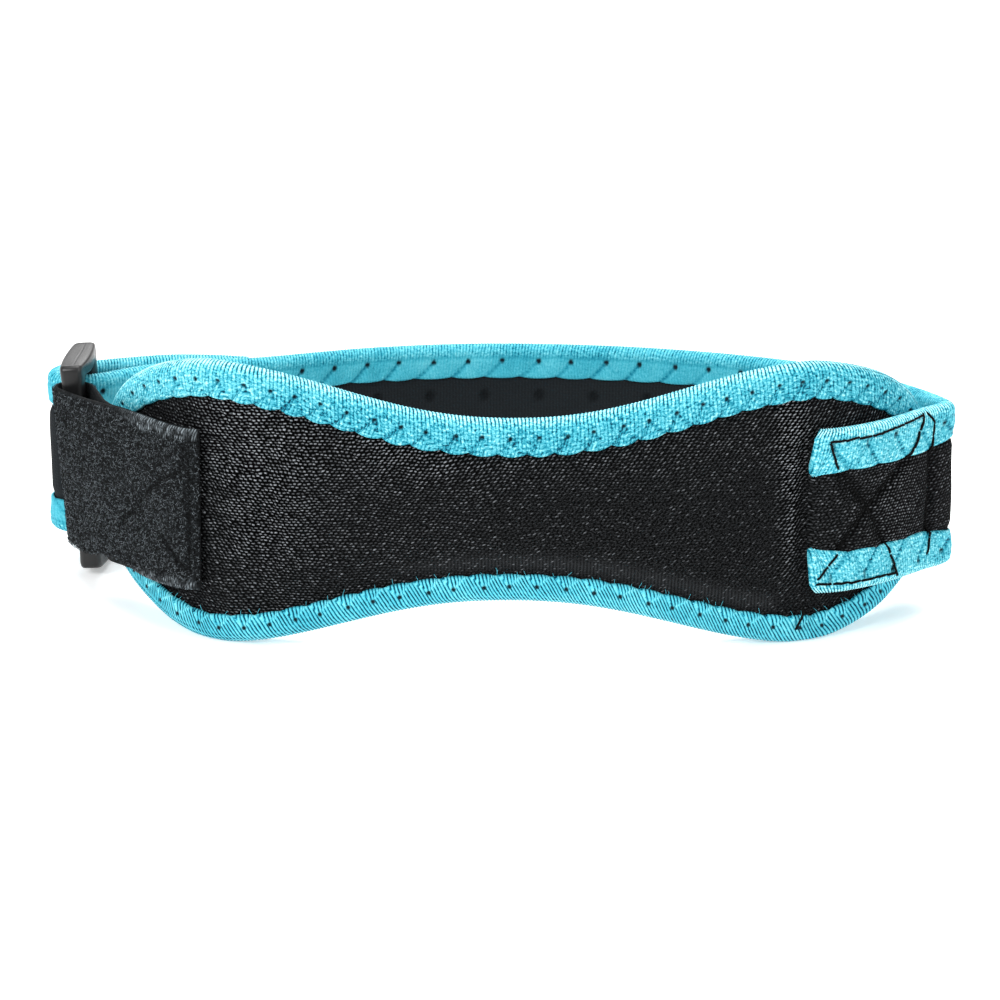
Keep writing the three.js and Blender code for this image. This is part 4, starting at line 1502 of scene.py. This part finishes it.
    def _refined(self, values: Array) -> Array:
        """Coarse values on the fine grid, by cubic interpolation along one parameter and then the other."""
        for axis, (few, many) in enumerate(zip(self.coarse, self.fine)):
            place = np.linspace(0.0, few - 1.0, many)
            base = np.clip(place.astype(int), 0, few - 2)
            t = (place - base).reshape((-1, 1) if axis == 0 else (1, -1))
            p0, p1, p2, p3 = (
                np.take(values, np.clip(base + shift, 0, few - 1), axis) for shift in (-1, 0, 1, 2)
            )
            curve = (p2 - p0) + t * (2.0 * p0 - 5.0 * p1 + 4.0 * p2 - p3 + t * (3.0 * (p1 - p2) + p3 - p0))
            values = p1 + 0.5 * t * curve
        return values

    def build(self, bench: Bench, material: Material) -> Piece:
        """Lays the crowned faces over the fine grid, with the swell, the puckers at the seam and the dents."""
        s, z, depth, travel = self._grid(self.fine)
        front, back = self._faces(s, depth)
        swell, middle = self._swell(bench), self.coarse[1]
        front, back = self._faces(s, depth, self.slack)
        front = front + self._refined(swell[:, :middle])
        back = back + self._refined(swell[:, middle:][:, ::-1])
        inside = smooth((depth - self.tape_inner) / 2.0)
        open_front = step_down(np.abs(s), self.open_ends)
        at_seam = bell(depth - self.tape_inner - self.pucker_at[0], self.pucker_at[1])
        puckers = self.pucker * (np.cos(2.0 * np.pi * travel / self.stitch_pitch) * at_seam)
        soft = ripple(s, z * 1.3, self.wave_length, SEED + 5)
        front = front + inside * (self.waves[0] * soft * open_front - puckers)
        span = smooth((self.dent_half - np.abs(z)) / 4.0)
        for dent in self.dents:
            front = front - bump(s, dent) * span * inside
        hollows = self._dimples(s, z) * step_up(depth - self.tape_inner, self.dimple_run)
        back = back + inside * (self.waves[1] * soft - puckers) - self.dimple_sink * hollows
        along, rise = there_and_back(s, s), there_and_back(z, z)
        points = self.shape.point(along, rise, there_and_back(front, -back))
        cloth = np.stack([along, rise], -1)
        none = np.zeros_like(s)
        values = {
            "lining": there_and_back(none, np.ones_like(s)),
            "seam": there_and_back(none, self.dimple_shade * hollows),
            "stretch": self._openness_and_glint(along, rise),
            "lean": np.interp(along, *zip(*self.leans)),
            "under": there_and_back(self._under(s, z, depth) * open_front, none),
        }
        draft = MeshDraft().grid(points, np.concatenate([cloth, cloth[:, :1]], 1), values, (False, True), True)
        pad = bench.piece("front_pad", draft, material, Slot.KNIT, ("pad",))
        return pad

    @staticmethod
    def _under(s: Array, z: Array, depth: Array) -> Array:
        """Share of knit that turns under beside the lower tape, so that its wales show."""
        return bell(depth - 9.3, 2.2) * smooth(-z / 8.0) * smooth((s + 35.0) / 25.0)

    def _openness_and_glint(self, s: Array, z: Array) -> Array:
        """How far the knit's floats stand open, which also lays their painted glints: most at the left bend, in a
        painted highlight streak beside the strap's sewn end and above, less towards the bottom.
        """
        glint_beside_end = bump(s, self.glint_streak) * smooth((z + 26.0) / 14.0)
        bends = bump(s, self.open_and_glinting_bends[0]) + bump(s, self.open_and_glinting_bends[1]) + glint_beside_end
        fading = 0.5 + 0.3 * smooth((z + 18.0) / 14.0) + 0.2 * smooth(z / 20.0)
        upper = 0.34 * smooth((z + 1.0) / 17.0) * (0.25 + 0.75 * smooth((s + 46.0) / 24.0))
        return self.stretch + bends * fading + upper - bump(s, self.tight_lobe)

    def _dimples(self, s: Array, z: Array) -> Array:
        """Share of the dimples' full depth on the lining, in staggered rows."""
        pitch_s, pitch_z = self.dimple_pitch
        hollows = np.zeros_like(s)
        for shift in (0.0, 0.5):
            away_s = ((s / pitch_s + shift) % 1.0 - 0.5) * pitch_s
            away_z = ((z / pitch_z + shift) % 1.0 - 0.5) * pitch_z
            away = np.hypot(away_s, away_z)
            hollows = np.maximum(hollows, dimple(away, self.dimple_radius))
        return hollows


@dataclass(frozen=True)
class RingShape:
    """Where the ring buckle's bars stand in plan, and its section."""

    front: Pair = (-97.7, 38.9)
    back: Pair = (-95.7, 51.6)
    centre_z: float = 30.4
    height: float = 49.2
    bar: float = 4.4
    depth: float = 4.5
    swell: float = 0.3
    top_gain: float = 0.12
    top_rise: Pair = (-0.8, 0.4)
    lean_deg: float = 4.9


@dataclass(frozen=True)
class RingBuckle:
    """The moulded ring that the strap runs through."""

    shape: RingShape
    outer_radius: float = 1.4
    inner_radius: float = 1.2
    corner_steps: int = 10
    run_steps: int = 14
    section_steps: int = 28
    squareness: float = 5.0
    end_run: Pair = (8.0, 7.0)
    # where the painted edge highlight starts on the section, and its run to full strength
    edge_highlight: Pair = (1.6, 0.4)
    parting_from: float = 0.48

    def _outline(self, width: float, height: float, radius: float) -> Array:
        """Rounded rectangle: four corner arcs, with the runs between them divided evenly."""
        arcs = []
        for quarter in range(4):
            sign_x, sign_y = ((1, 1), (-1, 1), (-1, -1), (1, -1))[quarter]
            angle = np.linspace(0.0, np.pi / 2.0, self.corner_steps) + quarter * np.pi / 2.0
            x = sign_x * (width / 2.0 - radius) + radius * np.cos(angle)
            y = sign_y * (height / 2.0 - radius) + radius * np.sin(angle)
            arcs.append(np.stack([x, y], -1))
        share = np.linspace(0.0, 1.0, self.run_steps + 1)[1:-1, None]
        parts = []
        for arc, following in zip(arcs, arcs[1:] + arcs[:1]):
            parts += [arc, arc[-1] + (following[0] - arc[-1]) * share]
        return np.concatenate(parts)

    def build(self, bench: Bench, material: Material) -> Piece:
        """Carries a superellipse section between the slot's outline and the outer outline."""
        ring = self.shape
        front, back = np.array(ring.front), np.array(ring.back)
        reach = back - front
        width = float(np.linalg.norm(reach))
        outer = self._outline(width + ring.bar, ring.height, self.outer_radius)
        inner = self._outline(width - ring.bar, ring.height - 2.0 * ring.bar, self.inner_radius)
        angle = np.arange(self.section_steps) * 2.0 * np.pi / self.section_steps
        power = 2.0 / self.squareness
        across = np.sign(np.cos(angle)) * np.abs(np.cos(angle)) ** power
        deep = np.sign(np.sin(angle)) * np.abs(np.sin(angle)) ** power
        share = (0.5 + 0.5 * across)[None, :, None]
        rise = np.interp(outer[:, 0], (-width / 2.0, width / 2.0), ring.top_rise)
        outer[:, 1] += rise * smooth(outer[:, 1] / ring.height * 4.0 - 1.0)
        flat = inner[:, None] + (outer - inner)[:, None] * share
        forward = np.append(reach / width, 0.0)
        sideways = np.array([-forward[1], forward[0], 0.0])
        up = np.array([0.0, 0.0, 1.0])
        bow = 1.0 - np.clip(2.0 * outer[:, 0] / (width + ring.bar), -1.0, 1.0) ** 2
        gain = ring.top_gain * smooth((np.abs(outer[:, 1]) - ring.height / 2.0 + self.end_run[0]) / self.end_run[1])
        thick = ring.depth / 2.0 * (1.0 + ring.swell * bow + gain)
        local = flat[..., :1] * forward + flat[..., 1:] * up + (thick[:, None] * deep)[..., None] * sideways
        lean = np.radians(ring.lean_deg)
        turned_x = local[..., 0] * np.cos(lean) - local[..., 2] * np.sin(lean)
        turned_z = local[..., 0] * np.sin(lean) + local[..., 2] * np.cos(lean)
        middle = np.append((front + back) / 2.0, ring.centre_z)
        points = middle + np.stack([turned_x, local[..., 1], turned_z], -1)
        edge = np.clip(np.abs(across) + np.abs(deep) - self.edge_highlight[0], 0.0, self.edge_highlight[1]) / self.edge_highlight[1]
        cloth = np.zeros((len(points) + 1, self.section_steps + 1, 2))
        parting = np.where((across > 0.5) & (np.abs(outer[:, 1:]) > ring.height * self.parting_from), deep, 1.0)
        draft = MeshDraft().grid(points, cloth, {"edge": edge, "parting": parting}, (True, True))
        return bench.piece("ring_buckle", draft, material, Slot.PLASTIC, ("buckle",))


@dataclass(frozen=True)
class PileTab:
    """Loop-pile tape: sewn on the pad's left front, round the ring's front bar and back under itself."""

    pad: PadShape
    ring: RingShape
    half_height: float = 18.5
    thickness: float = 1.7
    pad_span: Pair = (-67.5, -96.8)
    centre_z: float = 30.6
    outer_offset: float = 6.15
    inner_offset: float = 4.15
    eye_slack: float = 0.9
    eye_angles: Pair = (212.0, 11.0)
    steps: Pair = (0.15, 0.5)
    fine_until: float = 30.0
    face_rows: int = 52
    back_rows: int = 10
    selvedge: Pair = (0.2, 2.3)
    selvedge_pitch: float = 0.64
    rib_slant: float = 0.35
    rib_height: float = 0.16
    bare_sink: float = 0.14
    edge_pull: Triple = (28.0, 8.0, 2.0)
    top_rise: Triple = (17.0, 15.0, 0.9)
    press: float = 1.3
    press_reach: float = 2.2
    creases: tuple[Line, ...] = (
        ((2.0, 15.0), (2.0, -14.5)),
        ((2.0, 15.0), (4.0, 9.1), (9.6, 5.9), (24.0, -8.0)),
        ((2.0, -14.5), (9.0, -7.0)),
    )
    crease_sink: float = 0.45
    crease_reach: float = 0.6
    pile_shade: float = 0.55
    loop_pitch: float = 0.366
    loop_span: Pair = (0.4, 0.9)
    loop_rise: Pair = (0.1, 0.42)
    loop_radius: float = 0.07
    loop_margin: float = 0.3
    pile_end: float = 62.0
    pad_places: int = 6
    eye_places: int = 7
    sewn_run: Pair = (27.0, 10.0)
    crease_shade: float = 0.5

    @cached_property
    def course(self) -> Course:
        """The tape's middle line: over the pad, round the bar and back."""
        s = np.linspace(*self.pad_span, self.pad_places)
        rise = self.centre_z - self.pad.centre_z
        going = self.pad.point(s, rise, self.outer_offset)
        coming = self.pad.point(s[::-1], rise, self.inner_offset)
        radius = self.ring.bar / 2.0 + self.eye_slack + self.thickness / 2.0
        angle = np.radians(np.linspace(*self.eye_angles, self.eye_places))
        x = self.ring.front[0] + radius * np.cos(angle)
        y = self.ring.front[1] + radius * np.sin(angle)
        eye = np.stack([x, y, np.full(self.eye_places, self.ring.centre_z)], -1)
        leans = np.repeat([0.0, 1.0, 0.0], [self.pad_places, self.eye_places, self.pad_places])
        rows = np.concatenate([np.concatenate([going, eye, coming]), leans[:, None]], 1)
        return Course(rows, self.ring.lean_deg)

    def _height(self, u: Array, share: Array) -> Array:
        """Height across the tape; between the pad and the ring the lower edge is pulled up, the upper one slack."""
        pull, rise = bump(u, self.edge_pull), bump(u, self.top_rise)
        return share * self.half_height + pull * smooth(-share * 1.4) + rise * smooth(share * 1.2)

    def _creases(self, u: Array, height: Array) -> Array:
        """Share of the depth of the grooves along the crossed stitching."""
        return nearness(u, height, self.creases, self.crease_reach)

    def _bare(self, u: Array, height: Array) -> Array:
        """Share of bare weave: a selvedge along both edges that is wider on the sewn part."""
        narrow, wide = self.selvedge
        sewn = step_down(u, self.sewn_run)
        reach = narrow + (wide - narrow) * sewn + 0.3 * ripple(u, height * 0.2, 5.0, SEED + 14)
        return smooth((np.abs(height) - self.half_height + reach) / 0.5)

    def _ribs(self, u: Array, height: Array) -> Array:
        """Strength of the selvedge's slanted ribs, from 0 to 1, uneven along the tape."""
        run = u + self.rib_slant * np.abs(height) + 0.16 * ripple(u, height, 1.6, SEED + 15)
        wave = 0.5 + 0.5 * np.sin(2.0 * np.pi * run / self.selvedge_pitch)
        uneven = np.clip(0.72 + 0.7 * ripple(u, height, 2.2, SEED + 13), 0.1, 1.0)
        return self._bare(u, height) * wave**1.8 * uneven * smooth((self.fine_until - 2.0 - u) / 12.0)

    def _ground(self, u: Array, height: Array) -> Array:
        """Height of the pile side over the tape's half thickness: grooves, and ribs along the selvedges."""
        ribs = self.rib_height * self._ribs(u, height) - self.bare_sink * self._bare(u, height)
        return ribs - self.crease_sink * self._creases(u, height)

    def _thinning(self, u: Array) -> Array:
        """Share of the thickness that is left towards the sewn end and the hidden end."""
        return 0.3 + 0.7 * rounding(np.minimum(u, self.course.length - u), self.press_reach)

    def _press(self, u: Array) -> Array:
        """How far the sewn end is pressed towards the pad."""
        return self.press * bell(u, self.press_reach) + 0.5 * bell(u - self.course.length, self.press_reach)

    def build(self, bench: Bench, ground: Material, pile: Material) -> Piece:
        """Carries the woven ground's section along its course and sets the pile on it."""
        course = self.course
        fine = np.arange(0.0, self.fine_until, self.steps[0])
        coarse = np.linspace(self.fine_until, course.length, round((course.length - self.fine_until) / self.steps[1]))
        u = np.concatenate([fine, coarse])[:, None]
        face = np.linspace(1.0, -1.0, self.face_rows)
        back = np.linspace(-1.0, 1.0, self.back_rows)
        share = np.concatenate([back, face])[None]
        height = self._height(u, share)
        half = self.thickness / 2.0
        round_off = 0.35 + 0.65 * rounding(self.half_height * (1.0 - np.abs(share)), 0.7)
        side = np.concatenate([np.ones(self.back_rows), -np.ones(self.face_rows)])[None]
        relief = np.where(side < 0.0, self._ground(u, height), 0.0)
        out = side * (half * round_off + relief) * self._thinning(u) + self._press(u)
        points = course.place(u, height, out)
        # Painted highlights on the selvedge's ribs.
        tone = np.where(side < 0.0, 0.04 + 0.9 * self._ribs(u, height), 0.03) * smooth(u / 0.8)
        dark = np.where(side < 0.0, self.crease_shade * self._creases(u, height), 0.0)
        cloth = np.stack(np.broadcast_arrays(u, np.append(share[0], share[0, 0])[None]), -1)
        draft = MeshDraft().grid(points, cloth, {"tone": tone, "seam": dark}, (False, True), True)
        tape = bench.piece("pile_tab", draft, ground, Slot.PILE, ("tab",))
        loops = self._loops(bench, pile)
        return tape

    def _loops(self, bench: Bench, material: Material) -> Piece:
        """Scatters the pile: small arches of yarn on a shaken grid, each turned and leaned its own way."""
        random = np.random.default_rng(SEED + 11)
        inner = self.half_height - self.loop_margin
        u, height = np.meshgrid(
            np.arange(0.1, self.pile_end, self.loop_pitch), np.arange(-inner, inner, self.loop_pitch), indexing="ij"
        )
        shake = random.uniform(-0.5, 0.5, (2, *u.shape)) * self.loop_pitch
        u, height = (u + shake[0]).ravel(), (height + shake[1]).ravel()
        height = self._height(u, height / self.half_height)
        covered = self._bare(u, height) < random.uniform(0.2, 1.15, len(u))
        u, height = u[covered], height[covered]
        count = len(u)
        course = self.course
        ground = (self.thickness / 2.0 + self._ground(u, height)) * self._thinning(u)
        base = course.place(u, height, self._press(u) + 0.05 - ground)
        along, normal = course.heading(u), -course.out(u)
        up = unit(course.up(u))
        turn = random.uniform(0.0, np.pi, count)[:, None]
        run = along * np.cos(turn) + up * np.sin(turn)
        side = unit(np.cross(run, normal))
        lean = side * random.uniform(-0.3, 0.3, (count, 1))
        span = random.uniform(*self.loop_span, (count, 1))
        rise = random.uniform(*self.loop_rise, (count, 1))
        steps = np.array([-0.5, -0.24, 0.24, 0.5])
        lifts = np.array([-0.35, 0.85, 0.85, -0.35])
        bend = (normal * rise + lean * rise)[:, None] * lifts[None, :, None]
        paths = base[:, None] + (run * span)[:, None] * steps[None, :, None] + bend
        sunk = 1.0 - self.pile_shade * self._creases(u, height)[:, None]
        tone = random.uniform(0.0, 1.0, (count, 1)) ** 1.9 * sunk
        draft = MeshDraft().filaments(paths, side, self.loop_radius, 3, {"tone": tone})
        return bench.piece("tab_pile", draft, material, Slot.PILE)


@dataclass(frozen=True)
class StrapStitching:
    """Black box-and-cross stitching that holds the strap's sewn end, and its loose thread end."""

    strap: StrapShape
    pad: PadShape
    lines: tuple[Line, ...] = (
        ((5.4, 9.8), (3.6, 16.2), (17.0, 17.0), (29.7, 18.1)),
        ((30.1, 18.6), (26.9, 11.3), (13.5, 0.2), (5.9, -9.3), (1.4, -15.5)),
        ((5.4, 9.8), (13.5, 0.2), (18.3, -9.1), (22.2, -17.7)),
        ((1.4, -16.5), (21.9, -16.7)),
        ((31.4, 18.6), (33.8, 15.7), (33.0, 10.0), (33.1, -11.0), (32.2, -15.0)),
    )
    surface: float = 2.1
    band_surface: float = 0.5
    tape_inner: float = 9.5
    fold_at: float = 16.9
    stitch: float = 3.4
    radius: float = 0.3
    sides: int = 6
    loose_side: Triple = (0.3, -0.9, 0.3)
    loose_end: tuple[Triple, ...] = (
        (64.9, -23.4, 3.0),
        (64.9, -23.8, 3.5),
        (64.7, -25.0, 3.9),
        (64.3, -26.2, 3.75),
        (63.8, -27.3, 3.6),
        (63.3, -28.5, 3.5),
        (63.2, -28.8, 3.4),
    )

    def _stitches(self) -> tuple[Array, Array]:
        """Start and end of every stitch: each line is divided evenly into stitches."""
        starts, ends = [], []
        for line in self.lines:
            for start, end in zip(np.array(line), np.array(line)[1:]):
                count = max(1, round(float(np.linalg.norm(end - start)) / self.stitch))
                share = np.arange(count)[:, None] / count
                starts.append(start + (end - start) * share)
                ends.append(start + (end - start) * (share + 0.99 / count))
        return np.concatenate(starts), np.concatenate(ends)

    def build(self, bench: Bench, material: Material) -> Piece:
        """Each stitch is a thread that comes up, lies on the tape or the band and goes down again."""
        starts, ends = self._stitches()
        random = np.random.default_rng(SEED + 21)
        shake = random.uniform(-0.2, 0.2, (len(starts), 1, 2)) + random.uniform(-0.12, 0.12, (len(starts), 7, 2))
        share = np.array([0.0, 0.04, 0.2, 0.5, 0.8, 0.96, 1.0])
        lift = np.array([-0.3, -0.05, 0.1, 0.14, 0.1, -0.05, -0.3])
        route = starts[:, None] + (ends - starts)[:, None] * share[None, :, None] + shake
        height = np.abs(route[..., 1])
        on_tape = smooth((height - self.tape_inner + 0.4) / 0.8)
        folded = np.sqrt(np.maximum(self.surface**2 - np.maximum(height - self.fold_at, 0.0) ** 2, 0.04))
        out = self.band_surface + (folded - self.band_surface) * on_tape + lift
        paths = self.strap.place(route[..., 0], route[..., 1], out)
        normal = self.strap.course.out(route[:, 3, 0])
        loose = self.pad.point(*np.array(self.loose_end).T)[None]
        draft = MeshDraft().filaments(paths, normal, self.radius, self.sides)
        draft.filaments(loose, np.array([self.loose_side]), self.radius, self.sides)
        return bench.piece("strap_stitching", draft, material, Slot.KNIT)


@dataclass(frozen=True)
class StrayFibres:
    """Short ends of blue yarn that stand out of the pad tape's cut edge."""

    pad: PadShape
    count: int = 80
    depth: float = 7.4
    out: float = 2.75
    length: Pair = (0.6, 1.9)
    sideways: Pair = (-0.8, 0.8)
    rise: Pair = (0.1, 0.55)
    depth_swing: float = 0.75
    radius: float = 0.055

    def build(self, bench: Bench, material: Material) -> Piece:
        """Each fibre is an arc from the tape's inner edge, towards the pad and a little out of it."""
        random = np.random.default_rng(SEED + 31)
        edge = self.pad.edge(2000)
        pick = random.choice(np.flatnonzero(edge.inward[:, 1] > -0.2), self.count)
        reach = random.uniform(*self.length, (self.count, 1))
        sideways = random.uniform(*self.sideways, (self.count, 1))
        rise = random.uniform(*self.rise, (self.count, 1))
        t = np.linspace(0.0, 1.0, 6)[None]
        depth = self.depth - self.depth_swing * edge.inward[pick, 1:] + reach * t * np.sqrt(1.0 - 0.5 * sideways**2)
        out = self.out + rise * np.sin(np.pi * t) - 0.3 * t
        along = np.stack([-edge.inward[pick, 1], edge.inward[pick, 0]], -1)
        s = edge.s[pick, None] + edge.inward[pick, :1] * depth + along[:, :1] * sideways * reach * t**1.5
        z = edge.z[pick, None] + edge.inward[pick, 1:] * depth + along[:, 1:] * sideways * reach * t**1.5
        paths = self.pad.point(s, z, out)
        draft = MeshDraft().filaments(paths, self.pad.normal(edge.s[pick]), self.radius, 3)
        return bench.piece("stray_fibres", draft, material, Slot.TAPE)


@dataclass(frozen=True)
class Studio:
    """Camera, pale floor and soft lights."""

    loop: LoopFrame
    target: Triple = (-2.38, 0.0, 34.19)
    distance: float = 1300.0
    elevation_deg: float = 17.0
    roll_deg: float = 0.28
    focal_px: float = 5872.0
    picture_px: float = 1000.0
    floor_half: float = 4.0
    world_strength: float = 0.4
    floor_glow: float = 0.35
    floor_cells: int = 8
    sensor_mm: float = 36.0
    clip: Pair = (0.05, 50.0)
    aim: Triple = (0.0, 0.0, 0.03)
    softboxes: tuple[tuple[str, Triple, Pair, float], ...] = (
        ("key", (-1.2, -1.0, 1.2), (0.8, 0.8), 24.0),
        ("top", (0.0, 0.3, 1.5), (1.2, 0.6), 20.0),
        ("fill", (1.3, -0.9, 0.8), (0.7, 0.7), 9.0),
        ("back", (0.0, 1.7, 0.95), (1.8, 0.5), 16.0),
    )

    def camera(self) -> None:
        """Looks along the loop from the front, a little from above, with the picture's slight turn."""
        tilt, roll = np.radians(self.elevation_deg), np.radians(self.roll_deg)
        back = np.array([0.0, -np.cos(tilt), np.sin(tilt)])
        level, over = np.array([1.0, 0.0, 0.0]), np.array([0.0, np.sin(tilt), np.cos(tilt)])
        right = level * np.cos(roll) + over * np.sin(roll)
        up = over * np.cos(roll) - level * np.sin(roll)
        place = self.loop.to_model(np.array(self.target) + back * self.distance)
        data = bpy.data.cameras.new("camera")
        data.sensor_width = self.sensor_mm
        data.lens = data.sensor_width * self.focal_px / self.picture_px
        data.clip_start, data.clip_end = self.clip
        camera = linked("camera", data)
        axes = np.stack([right, up, back], 0) @ self.loop.axes
        matrix = np.eye(4)
        matrix[:3, :3], matrix[:3, 3] = axes.T, place
        camera.matrix_world = Matrix(matrix.tolist())
        bpy.context.scene.camera = camera

    def floor(self) -> None:
        """A wide pale plane with a faint satin gloss."""
        row = self.floor_cells + 1
        side = np.linspace(-self.floor_half, self.floor_half, row)
        x, y = np.meshgrid(side, side, indexing="ij")
        points = np.stack([x, y, np.zeros_like(x)], -1).reshape(-1, 3)
        cells = np.arange(self.floor_cells)
        first = (cells[:, None] * row + cells).ravel()
        faces = np.stack([first, first + row, first + row + 1, first + 1], -1)
        mesh = bpy.data.meshes.new("floor")
        mesh.from_pydata(points.tolist(), [], faces.tolist())
        floor = linked("floor", mesh)
        glow = {"Emission Color": grey(1.0), "Emission Strength": self.floor_glow}
        g = NodeGraph("pale_floor", {"Specular IOR Level": 0.3, **glow})
        cloud = g.noise(g.object_point(), 6.0, 2.0)
        colour = g.blend(cloud, grey(0.93), grey(0.95))
        mesh.materials.append(g.finish(colour, 0.32 + 0.04 * cloud, cloud, 0.00001))

    def _softbox(self, name: str, place: Triple, size: Pair, power: float) -> None:
        """A rectangular light that faces the object."""
        data = bpy.data.lights.new(name, "AREA")
        data.shape = "RECTANGLE"
        data.size, data.size_y = size
        data.energy = power
        light = linked(name, data)
        light.location = place
        light.rotation_mode = "QUATERNION"
        light.rotation_quaternion = (Vector(self.aim) - Vector(place)).to_track_quat("-Z", "Y")

    def build(self) -> None:
        """Makes the camera, the floor, the white surroundings and the softboxes."""
        self.camera()
        self.floor()
        world = bpy.data.worlds.new("studio")
        world.use_nodes = True
        background = next(n for n in world.node_tree.nodes if n.type == "BACKGROUND")
        background.inputs["Color"].default_value = (1.0, 1.0, 1.0, 1.0)
        background.inputs["Strength"].default_value = self.world_strength
        bpy.context.scene.world = world
        for softbox in self.softboxes:
            self._softbox(*softbox)
        bpy.context.scene.view_settings.view_transform = "Standard"


def main() -> None:
    """Builds the strap's pieces in order."""
    logging.basicConfig(level=logging.INFO, format="%(name)s %(message)s")
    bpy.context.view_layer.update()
    loop = LoopFrame.from_record(frame["record"])
    bench = Bench(loop)
    Studio(loop).build()
    pad_shape, ring_shape = PadShape(), RingShape()
    strap_shape = StrapShape(pad_shape)
    knit = KnitFinish("black_pad_knit").material()
    band_knit = KnitFinish("black_band_knit", float_pitch=0.92).material()
    tape = TapeFinish().material()
    FrontPad(pad_shape).build(bench, knit)
    PadBinding(pad_shape).build(bench, tape)
    band = StrapBand(strap_shape).build(bench, band_knit)
    tapes = [StrapBinding(strap_shape).build(bench, tape, upper) for upper in (True, False)]
    RingBuckle(ring_shape).build(bench, PlasticFinish().material())
    # The ground's pale grey is the painted highlight of its selvedge ribs.
    ground = PileFinish("black_tab_ground", 0.0004, 0.52).material()
    pile = PileFinish("black_tab_pile", 0.0005, 0.3).material()
    PileTab(pad_shape, ring_shape).build(bench, ground, pile)
    black = ThreadFinish("black_thread", grey(0.001), grey(0.005)).material()
    stitching = StrapStitching(strap_shape, pad_shape).build(bench, black)
    blue = ThreadFinish("blue_yarn", (0.05, 0.38, 0.5, 1.0), (0.14, 0.58, 0.7, 1.0)).material()
    StrayFibres(pad_shape).build(bench, blue)
    flat = (2.0 * strap_shape.half_height * METRES, strap_shape.course.length * METRES)


if __name__ == "__main__":
    main()
